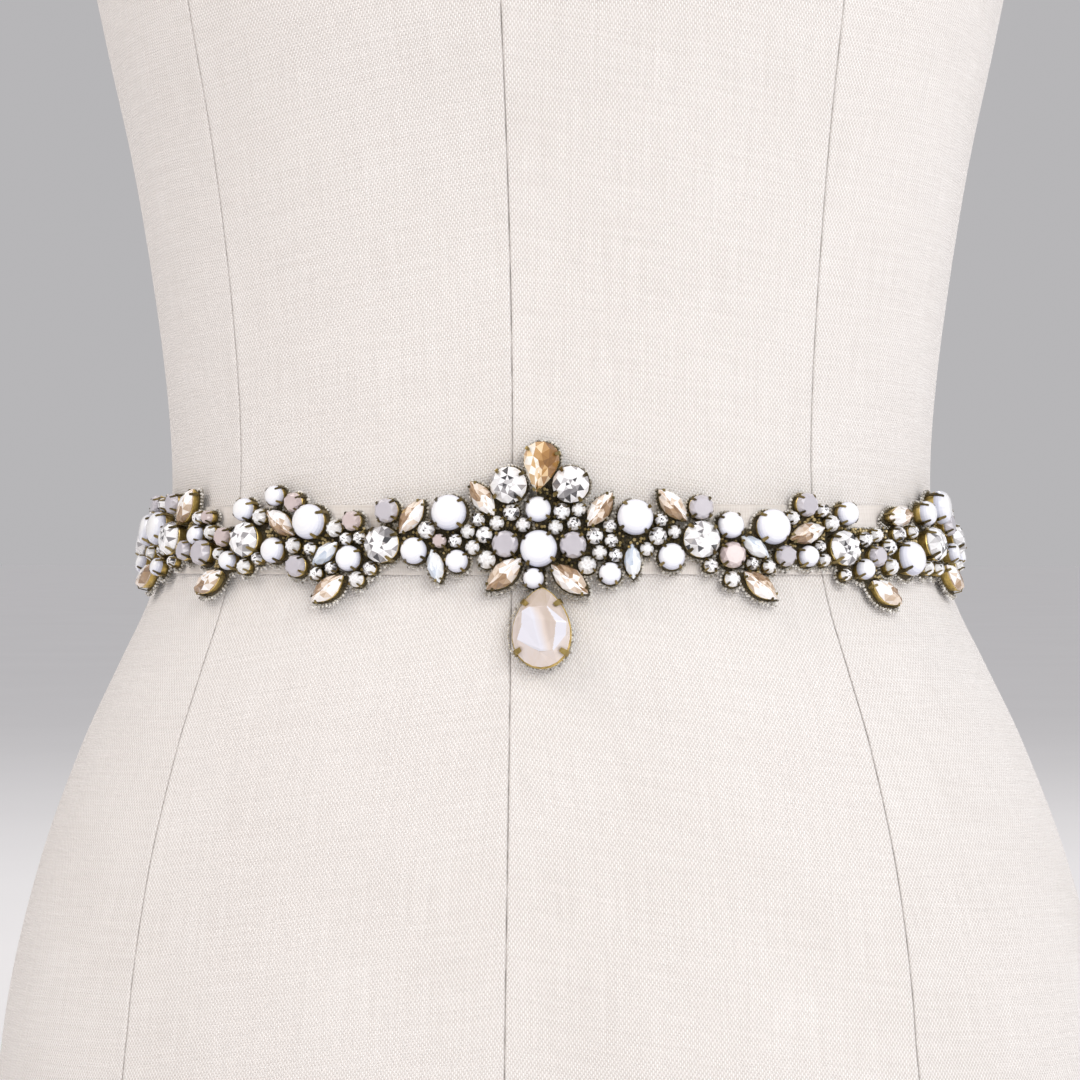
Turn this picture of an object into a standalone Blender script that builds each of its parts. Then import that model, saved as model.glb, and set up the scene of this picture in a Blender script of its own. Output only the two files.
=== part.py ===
"""Bridal sash on a limbless dress form.

An ivory ribbon goes round the waist of the form and laps at the centre back. A long applique of raised
stones lies on its front and sides, with a pear drop in a gold setting below its middle.

Sizes are in millimetres. The sash is laid out flat, as "along" (distance from its middle, positive to the
left of whoever wears it) and "up" (height above the ribbon's centre line), and then wrapped on the form.
"""
import bisect
import math

import bmesh
import bpy
from mathutils import Matrix, Vector
from mathutils.geometry import delaunay_2d_cdt

MM = 0.001
ANGLE_STEP = 0.004
HEIGHT_STEP = 0.5
SMOOTH_ANGLE = 35.0

# Dress form: one row for each section, as distances from the upright through the middle of the form
WAIST_HEIGHT = 250.0
SECTION_SQUARENESS = 2.15
FORM_SIDES = 60
RING_STEP = 26.0
WAIST_RING_STEP = 7.0
WAIST_ZONE = 42.0
FORM_COLUMNS = ("above_waist", "half_width", "front", "back")
FORM_SECTIONS = (
    (-250.0, 171.0, 104.0, 119.0),
    (-245.0, 176.0, 108.0, 123.0),
    (-193.0, 182.0, 111.0, 127.0),
    (-150.0, 178.5, 109.0, 123.0),
    (-104.0, 167.5, 104.0, 115.0),
    (-65.0, 153.0, 99.5, 106.0),
    (-39.0, 140.6, 96.5, 100.5),
    (-19.5, 131.2, 94.3, 97.0),
    (0.0, 125.3, 92.5, 95.0),
    (16.0, 123.4, 91.8, 94.0),
    (45.0, 124.8, 92.5, 94.5),
    (84.0, 129.7, 97.5, 97.5),
    (123.0, 136.2, 107.0, 101.0),
    (162.0, 144.5, 119.5, 104.0),
    (198.0, 151.0, 127.0, 107.0),
    (238.0, 151.5, 121.0, 109.0),
    (278.0, 154.0, 103.0, 108.0),
    (306.0, 156.0, 86.0, 102.0),
    (326.0, 148.0, 73.0, 92.0),
    (346.0, 124.0, 61.0, 79.0),
    (362.0, 94.0, 54.0, 68.0),
    (378.0, 68.0, 49.5, 60.0),
    (394.0, 57.0, 47.5, 55.5),
    (418.0, 53.0, 47.0, 54.0),
    (446.0, 53.0, 48.0, 54.0),
    (452.0, 49.0, 44.0, 50.0),
)

# Ribbon: seven-eighths of an inch wide, lapped at the centre back
RIBBON_WIDTH = 21.0
RIBBON_WALL = 1.0
RIBBON_STATION = 7.0
RIBBON_ROWS = 4
LAP_LENGTH = 34.0
LAP_RISE = 12.0
CLEAR_OF_FORM = 0.45
SEAM_GAP = 0.3

# Applique: the sash's middle sits a little to one side of the form's front seam
SASH_MIDDLE = 9.0
BACKING_WALL = 1.0
BACKING_MARGIN = 0.9
DROP_BACKING_MARGIN = -0.6
BACKING_GRID = 8.0
SPINE_HALF_LENGTH = 186.0
SPINE_HALF_HEIGHT = 5.0
STEM_HALF_WIDTH = 1.3
OUTLINE_STEP = 0.9
STONE_GAP = 0.4
SETTLE_ROUNDS = 80
STONE_BASE_HEIGHT = 2.8
STONE_HEIGHT_RATIO = 0.42
GIRDLE_LEVEL = 0.62
GIRDLE_SCALE = 0.98
TABLE_SCALE = 0.62
SMALL_STONE = 5.6
NAVETTE_WIDTH = 0.5
PEAR_WIDTH = 0.7
RIM_SIDES = 8

# Discs that fill a stone's outline, as a share of its length: how far along it, and the radius
NAVETTE_DISCS = ((0.0, 0.25), (0.2, 0.21), (-0.2, 0.21), (0.36, 0.12), (-0.36, 0.12))
PEAR_DISCS = ((0.16, 0.34), (-0.1, 0.26), (-0.3, 0.13))

# Pear drop, with its tip up, and the four prongs that hold it
DROP_ALONG = 0.0
DROP_TIP = -14.9
DROP_LENGTH = 23.4
DROP_WIDTH = 17.2
DROP_THICKNESS = 6.2
DROP_SIDES = 24
SETTING_WALL = 0.9
SETTING_MARGIN = 0.5
SETTING_STEP = 0.4
PRONG_WIDTH = 1.3
PRONG_HEIGHT = 4.4
PRONG_TIP_SCALE = 0.8
PRONG_FOOT_SCALE = 1.5
PRONG_TURNS = (50.0, 129.0, 231.0, 310.0)
DROP_SEAT = 0.45

# How full a pear is towards its tip: the power of its width there, and the most that the width comes to
SLENDER_PEAR = (1.0, 0.3849)
FULL_PEAR = (0.7, 0.4426)

# The drop's shape from its back to its face: scale of its outline, and share of its thickness
DROP_LAYERS = ((0.86, 0.0), (1.0, 0.28), (1.0, 0.4), (0.8, 0.78), (0.5, 1.0))

# One row for each stone, from the sash's middle outwards on its left side and then on its right. The turn
# is that of a navette's length, or of the whole pear, from where it would lie along the ribbon or hang down.
STONE_CHART = """
kind        size    along      up    turn
gold_pear   15.2      0.4    20.4      -9
white        7.6     -0.6     8.9       0
white       11.0     -1.2    -2.6       0
white        6.2     -2.0   -11.2       0
clear       11.0     -8.2    16.4       0
champagne   12.6    -16.6    10.3     -54
clear        5.0     -8.3     7.9       0
opal         4.4     -5.1     4.0       0
opal         4.4    -13.6     5.1       0
clear        4.1    -18.1     4.2       0
grey         8.0     -9.5    -0.8       0
clear        5.0    -16.1     1.3       0
opal         4.3    -21.5     1.9       0
opal         4.4    -19.8    -2.2       0
clear        4.1    -25.5    -0.1       0
rose         4.3    -29.3    -0.4       0
opal         5.4    -15.3    -6.3       0
champagne   14.0    -10.5   -10.3      42
white        6.8    -24.8    -6.1       0
blue        10.4    -29.6    -7.2     -75
white       10.7    -26.8     7.7       0
clear        5.4    -33.3     2.2       0
champagne   12.6    -38.8     6.4      54
white        8.0    -38.1    -3.6       0
clear       11.0    -47.2    -1.8       0
grey         7.4    -46.2     8.5       0
clear        4.2    -50.3    -8.8       0
rose         6.0    -57.2     5.1       0
clear        4.0    -59.0    -0.4       0
clear        4.0    -54.2    -0.4       0
white        7.8    -58.2    -5.7       0
blue        10.7    -64.5    -3.2      40
opal         4.8    -53.8   -12.2       0
champagne   13.0    -62.6   -14.8      38
clear        3.9    -61.4    -8.4       0
clear        4.1    -67.0   -10.4       0
opal         5.2    -63.3     1.8       0
white       10.7    -70.8     3.7       0
clear        4.0    -69.0    -3.6       0
grey         6.6    -73.7    -8.6       0
opal         4.9    -76.0    -1.8       0
champagne   13.0    -82.2     4.4     -36
rose         6.0    -76.6    10.7       0
white        6.2    -84.0    13.3       0
white        7.8    -83.3    -4.1       0
clear        3.8    -87.6    -5.8       0
opal         5.0    -88.2     5.4       0
white        7.2    -95.4     8.9       0
clear       10.7    -93.6    -0.8       0
opal         4.6    -92.7    -8.8       0
white        6.0    -98.4    -6.1       0
rose         6.0   -103.1     0.0       0
opal         3.9   -103.8    -5.0       0
opal         4.5   -109.6     1.4       0
champagne   13.0   -105.0   -12.9      32
grey         8.0   -111.0    -4.6       0
white        6.2   -116.4     0.5       0
clear        4.3   -116.6     6.0       0
rose         4.2   -111.8     6.6       0
grey         6.4   -120.2    -3.8       0
champagne   13.0   -124.6     8.2      60
grey         6.6   -132.4    11.0       0
clear       10.7   -128.6     0.6       0
clear        3.6   -127.6    -7.2       0
white        5.8   -136.2    -9.8       0
clear        4.4   -136.6    -4.4       0
white       10.7   -140.6     2.6       0
clear        4.4   -142.4    10.8       0
champagne   13.0   -144.6   -13.0      36
grey         7.0   -148.2    10.4       0
white       10.7   -152.8     2.0       0
opal         5.0   -146.6    -5.4       0
clear       10.7   -163.4    -2.6       0
opal         4.4   -159.8     8.2       0
white        6.4   -157.0    -8.8       0
champagne   13.0   -173.0     2.0     -10
opal         4.4   -167.8     6.6       0
white        6.4   -171.0    -6.6       0
grey         6.4   -182.2    -2.4       0
clear        4.2   -187.0     1.8       0
clear       11.0      7.6    15.0       0
champagne   12.6     16.5     8.7      54
clear        5.0      6.8     7.9       0
opal         4.4      4.5     3.9       0
opal         4.2     11.1     8.0       0
clear        4.1      9.9     4.2       0
grey         8.0      8.6    -1.0       0
clear        5.0     15.9     0.0       0
clear        4.1     20.0     3.5       0
opal         4.4     17.8    -4.3       0
clear        4.1     20.0    -1.2       0
clear        4.1     22.9    -4.6       0
opal         5.4     12.9    -7.0       0
champagne   14.0      7.6   -10.7     -38
white        6.7     19.6    -9.1       0
blue        10.6     25.9    -4.4     -88
white       10.7     27.9     4.7       0
clear        5.4     33.6     1.0       0
clear        4.0     35.8     5.1       0
opal         4.0     38.2     1.4       0
opal         4.1     29.9    -2.0       0
champagne   12.6     38.2     8.3     -47
white        8.0     36.7    -4.1       0
clear       11.0     46.1    -0.8       0
grey         7.4     45.8     9.1       0
clear        4.2     48.4    -7.6       0
white        8.0     55.7     3.6       0
rose         8.0     55.2    -4.5       0
opal         4.8     54.6   -12.2       0
blue        10.7     62.2    -2.3     -36
champagne   13.0     61.7   -14.2     -40
clear        3.9     60.7    -7.9       0
opal         4.1     65.8    -8.5       0
white       10.7     69.4     3.1       0
grey         6.4     71.2    -5.3       0
opal         4.0     75.4     6.4       0
champagne   12.6     79.1     1.0      16
grey         7.2     80.1     8.9       0
white        6.4     78.9    -5.6       0
clear        3.7     83.4    -2.3       0
opal         3.8     83.6    -6.6       0
clear        3.9     85.2     7.4       0
opal         5.0     88.3     3.6       0
white        7.2     93.6     7.3       0
clear       10.7     91.6    -3.7       0
clear        3.6     90.0   -11.4       0
white        6.4     96.0    -9.4       0
clear        4.8     99.8    -0.6       0
opal         4.3    104.2     0.6       0
grey         6.4    102.5    -6.4       0
clear        5.0    108.7    -3.2       0
opal         5.0    107.5    -9.2       0
champagne   13.0    101.6   -15.0     -35
clear        5.0    114.0     1.4       0
white       10.7    116.0    -7.0       0
champagne   12.6    116.2     6.0       5
clear        4.1    121.6     1.6       0
clear       10.7    131.6    -2.6       0
white        7.8    130.6     7.6       0
opal         4.4    125.4   -10.0       0
clear        4.1    132.2   -10.4       0
white       10.7    140.8     9.6       0
opal         4.0    139.6    -0.2       0
champagne   13.0    141.6   -13.6     -40
grey         7.8    148.8     4.0       0
white        6.4    148.4    -5.6       0
clear       10.7    157.4    -1.0       0
opal         4.4    154.8     8.2       0
opal         4.4    155.8    -9.6       0
champagne   13.0    170.0     1.0      10
opal         4.6    166.2     7.4       0
white        6.4    166.4    -6.6       0
grey         6.4    180.4    -2.0       0
clear        4.2    185.8     1.2       0
"""

# Colours in linear light, with each material's roughness and metallic value
MATERIALS = {
    "linen": ((0.80, 0.74, 0.70), 0.85, 0.0),
    "ribbon": ((0.78, 0.71, 0.64), 0.55, 0.0),
    "stones": ((0.62, 0.60, 0.58), 0.25, 0.0),
    "gold": ((0.55, 0.42, 0.20), 0.32, 1.0),
    "ivory_glass": ((0.72, 0.62, 0.52), 0.12, 0.0),
}


def form_profile(height):
    """Half width and depths of the form at a height above the waist, smooth through its sections."""
    heights = [row[0] for row in FORM_SECTIONS]
    height = min(max(height, heights[0]), heights[-1])
    lower = min(bisect.bisect_right(heights, height) - 1, len(heights) - 2)
    span = heights[lower + 1] - heights[lower]
    part = (height - heights[lower]) / span
    values = []
    for column in range(1, len(FORM_COLUMNS)):
        start = FORM_SECTIONS[lower][column]
        end = FORM_SECTIONS[lower + 1][column]
        start_slope = section_slope(lower, column) * span
        end_slope = section_slope(lower + 1, column) * span
        cubic = (2 * start - 2 * end + start_slope + end_slope) * part ** 3
        square = (3 * end - 3 * start - 2 * start_slope - end_slope) * part ** 2
        values.append(cubic + square + start_slope * part + start)
    return values


def section_slope(index, column):
    """How fast one column of the sections changes with height, from the rows beside this one."""
    below = FORM_SECTIONS[max(index - 1, 0)]
    above = FORM_SECTIONS[min(index + 1, len(FORM_SECTIONS) - 1)]
    return (above[column] - below[column]) / (above[0] - below[0])


def squared_off(value):
    """A sine or cosine pushed outwards, which turns an ellipse into a slightly squarer section."""
    return math.copysign(abs(value) ** (2 / SECTION_SQUARENESS), value)


def section_point(angle, height):
    """A point of the form's surface: angle 0 is the front and a quarter turn is its left side."""
    half_width, front, back = form_profile(height)
    depth = front if math.cos(angle) > 0 else back
    return Vector((half_width * squared_off(math.sin(angle)), -depth * squared_off(math.cos(angle)), height))


def waist_arcs(steps=1440):
    """Angles round the waist, and the distance along the waist from the front to each of them."""
    angles = [2 * math.pi * step / steps - math.pi for step in range(steps + 1)]
    points = [section_point(angle, 0.0) for angle in angles]
    arcs = [0.0]
    for first, second in zip(points, points[1:]):
        arcs.append(arcs[-1] + (second - first).length)
    middle = arcs[steps // 2]
    return angles, [arc - middle for arc in arcs]


WAIST_ANGLES, WAIST_ARCS = waist_arcs()
GIRTH = WAIST_ARCS[-1] - WAIST_ARCS[0]


def angle_at(along):
    """The angle round the waist at a distance from the front, which may go past the centre back."""
    turns = math.floor((along - WAIST_ARCS[0]) / GIRTH)
    along -= turns * GIRTH
    upper = min(max(bisect.bisect_left(WAIST_ARCS, along), 1), len(WAIST_ARCS) - 1)
    part = (along - WAIST_ARCS[upper - 1]) / (WAIST_ARCS[upper] - WAIST_ARCS[upper - 1])
    angle = WAIST_ANGLES[upper - 1] + part * (WAIST_ANGLES[upper] - WAIST_ANGLES[upper - 1])
    return angle + turns * 2 * math.pi


def surface_frame(along, up):
    """The form's surface point at a place of the sash, with its directions along, up and outwards."""
    angle = angle_at(along + SASH_MIDDLE)
    across = section_point(angle + ANGLE_STEP, up) - section_point(angle - ANGLE_STEP, up)
    rise = section_point(angle, up + HEIGHT_STEP) - section_point(angle, up - HEIGHT_STEP)
    outward = across.cross(rise).normalized()
    across.normalize()
    return section_point(angle, up), across, outward.cross(across).normalized(), outward


def on_form(along, up, out):
    """A point at a distance out from the form's surface."""
    point, _, _, outward = surface_frame(along, up)
    return point + outward * out


def to_scene(point):
    """From millimetres about the waist to metres above the floor."""
    return Vector((point.x, point.y, point.z + WAIST_HEIGHT)) * MM


def ring_points(shape, size, sides):
    """A stone's outline about its own middle: round, a pointed navette, or a pear with its tip down."""
    turns = [2 * math.pi * side / sides for side in range(sides)]
    if shape == "navette":
        half_length = size / 2
        half_width = half_length * NAVETTE_WIDTH
        return [Vector((half_length * math.cos(turn), half_width * math.sin(turn) * abs(math.sin(turn))))
                for turn in turns]
    if shape == "pear":
        return pear_points(size, size * PEAR_WIDTH, sides, -1, SLENDER_PEAR)
    return [Vector((math.cos(turn), math.sin(turn))) * (size / 2) for turn in turns]


def pear_points(length, width, sides, tip, fullness):
    """A pear outline: tip is 1 with the point up and -1 with the point down."""
    points = [pear_point(length, width, 2 * math.pi * side / sides, tip, fullness) for side in range(sides)]
    return points if tip > 0 else points[::-1]


def pear_point(length, width, turn, tip, fullness):
    """A pear's edge at a turn from its tip, going round by its left side."""
    power, peak = fullness
    across = width / 2 * abs(math.sin(turn / 2)) ** (2 * power) * math.cos(turn / 2) / peak
    return Vector((-across, tip * length / 2 * math.cos(turn)))


def grown(points, margin):
    """An outline moved outwards all round, point by point."""
    moved = []
    for index, point in enumerate(points):
        edge = points[(index + 1) % len(points)] - points[index - 1]
        moved.append(point + Vector((edge.y, -edge.x)).normalized() * margin)
    return moved


class Stone:
    """One stone of the chart, placed on the flat sash."""

    def __init__(self, kind, size, along, up, turn):
        self.kind = kind
        self.size = size
        self.middle = Vector((along, up))
        self.turn = turn
        self.shape = {"champagne": "navette", "blue": "navette", "gold_pear": "pear"}.get(kind, "round")
        self.sides = 6 if size < SMALL_STONE or self.shape == "navette" else 8
        self.height = STONE_BASE_HEIGHT + STONE_HEIGHT_RATIO * self.width()

    def width(self):
        share = {"navette": NAVETTE_WIDTH, "pear": PEAR_WIDTH, "round": 1.0}[self.shape]
        return self.size * share

    def outline(self, sides=None):
        points = ring_points(self.shape, self.size, sides or self.sides)
        turned = Matrix.Rotation(math.radians(self.turn), 2)
        return [turned @ point for point in points]

    def discs(self):
        """Discs that fill the stone, for telling how close two stones lie."""
        if self.shape == "round":
            return [(Vector((0.0, 0.0)), self.size / 2)]
        turned = Matrix.Rotation(math.radians(self.turn), 2)
        if self.shape == "navette":
            return [(turned @ Vector((self.size * place, 0.0)), self.size * radius)
                    for place, radius in NAVETTE_DISCS]
        return [(turned @ Vector((0.0, self.size * place)), self.size * radius)
                for place, radius in PEAR_DISCS]


def read_stones():
    """The chart's stones, moved apart where two would touch."""
    rows = [line.split() for line in STONE_CHART.strip().splitlines()]
    return settle([Stone(row[0], *[float(value) for value in row[1:]]) for row in rows[1:]])


def settle(stones):
    """Pushes stones that would touch apart until each stands clear of the rest."""
    near = [(first, second) for index, first in enumerate(stones) for second in stones[index + 1:]
            if abs(first.middle.x - second.middle.x) < first.size + second.size]
    for _ in range(SETTLE_ROUNDS):
        for first, second in near:
            push = closest_push(first, second)
            if push is not None:
                first.middle -= push / 2
                second.middle += push / 2
    return stones


def closest_push(first, second):
    """How far the second stone has to move to stand clear of the first, or nothing."""
    deepest = None
    for first_place, first_radius in first.discs():
        for second_place, second_radius in second.discs():
            apart = (second.middle + second_place) - (first.middle + first_place)
            short = first_radius + second_radius + STONE_GAP - apart.length
            if short > 1e-4 and (deepest is None or short > deepest.length):
                deepest = apart.normalized() * short
    return deepest


def border_of(shapes, step):
    """The outer border of flat shapes laid over each other, with its points at least a step apart."""
    points = []
    faces = []
    for shape in shapes:
        faces.append(list(range(len(points), len(points) + len(shape))))
        points.extend(shape)
    corners, _, triangles, _, _, _ = delaunay_2d_cdt(points, [], faces, 1, 1e-4)
    directed = {(face[side], face[(side + 1) % 3]) for face in triangles for side in range(3)}
    following = {first: second for first, second in directed if (second, first) not in directed}
    loops = []
    while following:
        loop = [next(iter(sorted(following)))]
        while loop[-1] in following:
            loop.append(following.pop(loop[-1]))
        loops.append([corners[index] for index in loop[:-1]])
    return thinned(max(loops, key=lambda loop: abs(flat_area(loop))), step)


def flat_area(loop):
    """The signed area inside a flat outline."""
    return sum(first.cross(second) for first, second in zip(loop, loop[1:] + loop[:1])) / 2


def thinned(loop, step):
    """An outline without the points that lie closer than a step to the one before."""
    kept = [loop[0]]
    for point in loop[1:]:
        if (point - kept[-1]).length >= step:
            kept.append(point)
    if (kept[0] - kept[-1]).length < step:
        kept.pop()
    return kept


def filled(border, rings, extra):
    """Triangles inside a border and outside the rings in it, with the rings' own corners."""
    points = list(border)
    faces = [list(range(len(border)))]
    for ring in rings:
        faces.append(list(range(len(points), len(points) + len(ring))))
        points.extend(ring)
    points.extend(extra)
    corners, _, triangles, sources, _, owners = delaunay_2d_cdt(points, [], faces, 1, 1e-5)
    place_of = {source: index for index, group in enumerate(sources) for source in group}
    kept = [face for face, owner in zip(triangles, owners) if list(owner) == [0]]
    loops = [[place_of[index] for index in face] for face in faces]
    return corners, kept, loops


def inside(border, point):
    """Whether a flat point lies inside an outline."""
    crossings = 0
    for first, second in zip(border, border[1:] + border[:1]):
        if (first.y > point.y) != (second.y > point.y):
            reach = first.x + (point.y - first.y) / (second.y - first.y) * (second.x - first.x)
            crossings += reach > point.x
    return crossings % 2 == 1


def grid_inside(border, step):
    """Points of an even grid that lie well inside an outline."""
    across = [point.x for point in border]
    rise = [point.y for point in border]
    points = []
    for column in range(math.floor(min(across) / step), math.ceil(max(across) / step) + 1):
        for row in range(math.floor(min(rise) / step), math.ceil(max(rise) / step) + 1):
            point = Vector((column * step, row * step))
            if inside(border, point) and min((point - other).length for other in border) > step / 4:
                points.append(point)
    return points


def raised_panel(name, material, border, bosses, under, wall):
    """A panel that hugs the form, plain inside, with bosses raised from its outer face.

    Each boss is its outline, its middle and its layers, a layer being a scale and a height.
    """
    model = bmesh.new()
    corners, front_faces, loops = filled(border, [boss["outline"] for boss in bosses], [])
    front = {}
    for index in sorted({corner for face in front_faces for corner in face}):
        front[index] = model.verts.new(to_scene(on_form(corners[index].x, corners[index].y, under + wall)))
    for face in front_faces:
        model.faces.new([front[index] for index in face])
    for boss, loop in zip(bosses, loops[1:]):
        raise_boss(model, boss, [front[index] for index in loop], under + wall)
    inner, back_faces, back_loops = filled(border, [], grid_inside(border, BACKING_GRID))
    back = {}
    for index in sorted({corner for face in back_faces for corner in face}):
        back[index] = model.verts.new(to_scene(on_form(inner[index].x, inner[index].y, under)))
    for face in back_faces:
        model.faces.new([back[index] for index in reversed(face)])
    outer_loop = loops[0]
    inner_loop = back_loops[0]
    for index in range(len(outer_loop)):
        after = (index + 1) % len(outer_loop)
        model.faces.new((front[outer_loop[index]], back[inner_loop[index]],
                         back[inner_loop[after]], front[outer_loop[after]]))
    return make_object(name, model, material)


def raise_boss(model, boss, base, out):
    """Walls from a ring of the outer face up through the boss's layers, closed by a flat top."""
    middle = boss["middle"]
    point, along, up, outward = surface_frame(middle.x, middle.y)
    lower = base
    for scale, height in boss["layers"]:
        upper = []
        for corner in boss["outline"]:
            offset = (corner - middle) * scale
            place = point + along * offset.x + up * offset.y + outward * (out + height)
            upper.append(model.verts.new(to_scene(place)))
        for index in range(len(lower)):
            after = (index + 1) % len(lower)
            model.faces.new((lower[index], lower[after], upper[after], upper[index]))
        lower = upper
    model.faces.new(lower)


def make_object(name, model, material):
    """A named object in the scene from a finished bmesh."""
    bmesh.ops.recalc_face_normals(model, faces=model.faces)
    mesh = bpy.data.meshes.new(name)
    model.to_mesh(mesh)
    model.free()
    mesh.materials.append(bpy.data.materials[material])
    made = bpy.data.objects.new(name, mesh)
    bpy.context.scene.collection.objects.link(made)
    mesh.shade_smooth()
    mesh.set_sharp_from_angle(angle=math.radians(SMOOTH_ANGLE))
    return made


def make_materials():
    for name, (colour, roughness, metallic) in MATERIALS.items():
        material = bpy.data.materials.new(name)
        material.use_nodes = True
        shader = material.node_tree.nodes["Principled BSDF"]
        shader.inputs["Base Color"].default_value = (*colour, 1.0)
        shader.inputs["Roughness"].default_value = roughness
        shader.inputs["Metallic"].default_value = metallic


def build_dress_form():
    """The torso: rings of its sections, closer together at the waist, closed flat at both ends."""
    heights = [FORM_SECTIONS[0][0], FORM_SECTIONS[1][0]]
    while heights[-1] < FORM_SECTIONS[-2][0]:
        step = WAIST_RING_STEP if -WAIST_ZONE <= heights[-1] < WAIST_ZONE else RING_STEP
        goal = FORM_SECTIONS[-2][0]
        if heights[-1] < -WAIST_ZONE:
            goal = -WAIST_ZONE
        elif heights[-1] < WAIST_ZONE:
            goal = WAIST_ZONE
        heights.append(min(heights[-1] + step, goal))
    heights.append(FORM_SECTIONS[-1][0])
    model = bmesh.new()
    rings = []
    for height in heights:
        angles = [2 * math.pi * side / FORM_SIDES for side in range(FORM_SIDES)]
        rings.append([model.verts.new(to_scene(section_point(angle, height))) for angle in angles])
    for lower, upper in zip(rings, rings[1:]):
        for side in range(FORM_SIDES):
            after = (side + 1) % FORM_SIDES
            model.faces.new((lower[side], lower[after], upper[after], upper[side]))
    model.faces.new(list(reversed(rings[0])))
    model.faces.new(rings[-1])
    return make_object("dress_form", model, "linen")


def ribbon_out(along, start, end):
    """How far the ribbon's inner face lies from the form: its last stretch climbs onto its first."""
    lap_start = end - LAP_LENGTH
    climb = min(max((along - lap_start + LAP_RISE) / LAP_RISE, 0.0), 1.0)
    eased = climb * climb * (3 - 2 * climb)
    return CLEAR_OF_FORM + eased * (RIBBON_WALL + SEAM_GAP)


def build_ribbon():
    """One length of ribbon from the centre back round the front to the centre back, and over its start."""
    back_seam = GIRTH / 2 - SASH_MIDDLE
    start = back_seam - GIRTH - LAP_LENGTH / 2
    end = back_seam + LAP_LENGTH / 2
    stations = math.ceil((end - start) / RIBBON_STATION)
    model = bmesh.new()
    loops = []
    for station in range(stations + 1):
        along = start + (end - start) * station / stations
        inner = ribbon_out(along, start, end)
        rows = [RIBBON_WIDTH * (row / (RIBBON_ROWS - 1) - 0.5) for row in range(RIBBON_ROWS)]
        corners = [(up, inner) for up in rows] + [(up, inner + RIBBON_WALL) for up in reversed(rows)]
        loops.append([model.verts.new(to_scene(on_form(along, up, out))) for up, out in corners])
    for before, after in zip(loops, loops[1:]):
        for corner in range(2 * RIBBON_ROWS):
            following = (corner + 1) % (2 * RIBBON_ROWS)
            model.faces.new((before[corner], before[following], after[following], after[corner]))
    for end_loop in (loops[0], loops[-1]):
        for row in range(RIBBON_ROWS - 1):
            opposite = 2 * RIBBON_ROWS - 1 - row
            model.faces.new((end_loop[row], end_loop[row + 1], end_loop[opposite - 1], end_loop[opposite]))
    return make_object("ribbon", model, "ribbon")


def drop_middle():
    return Vector((DROP_ALONG, DROP_TIP - DROP_LENGTH / 2))


def drop_outline(margin=0.0):
    """The pear drop's outline on the flat sash, with an even margin round it."""
    points = pear_points(DROP_LENGTH, DROP_WIDTH, DROP_SIDES, 1, FULL_PEAR)
    if margin:
        points = grown(points, margin)
    return [point + drop_middle() for point in points]


def spine():
    """The strip of backing that runs along the ribbon behind the stones."""
    steps = math.ceil(SPINE_HALF_LENGTH / BACKING_GRID)
    places = [SPINE_HALF_LENGTH * step / steps for step in range(-steps, steps + 1)]
    lower = [Vector((place, -SPINE_HALF_HEIGHT)) for place in places]
    upper = [Vector((place, SPINE_HALF_HEIGHT)) for place in reversed(places)]
    return lower + upper


def stem(place):
    """A strip of backing that ties a stone, or the drop, to the strip along the ribbon."""
    left, right = place.x - STEM_HALF_WIDTH, place.x + STEM_HALF_WIDTH
    low, high = min(place.y, 0.0), max(place.y, 0.0)
    return [Vector((left, low)), Vector((right, low)), Vector((right, high)), Vector((left, high))]


def build_applique(stones):
    """The backing, cut close round the stones, with each stone raised from it."""
    under = CLEAR_OF_FORM + RIBBON_WALL + SEAM_GAP
    shapes = [spine(), drop_outline(DROP_BACKING_MARGIN), stem(drop_middle())]
    for stone in stones:
        rim = grown(stone.outline(sides=RIM_SIDES), BACKING_MARGIN)
        shapes.append([point + stone.middle for point in rim])
        if abs(stone.middle.y) > SPINE_HALF_HEIGHT:
            shapes.append(stem(stone.middle))
    bosses = []
    for stone in stones:
        bosses.append({"outline": [point + stone.middle for point in stone.outline()],
                       "middle": stone.middle,
                       "layers": stone_layers(stone)})
    return raised_panel("applique", "stones", border_of(shapes, OUTLINE_STEP), bosses, under, BACKING_WALL)


def stone_layers(stone):
    """Scales and heights of a stone: a small one tapers once, a larger one has a girdle and a table."""
    if stone.size < SMALL_STONE:
        return [(TABLE_SCALE, stone.height)]
    return [(GIRDLE_SCALE, stone.height * GIRDLE_LEVEL), (TABLE_SCALE, stone.height)]


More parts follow.
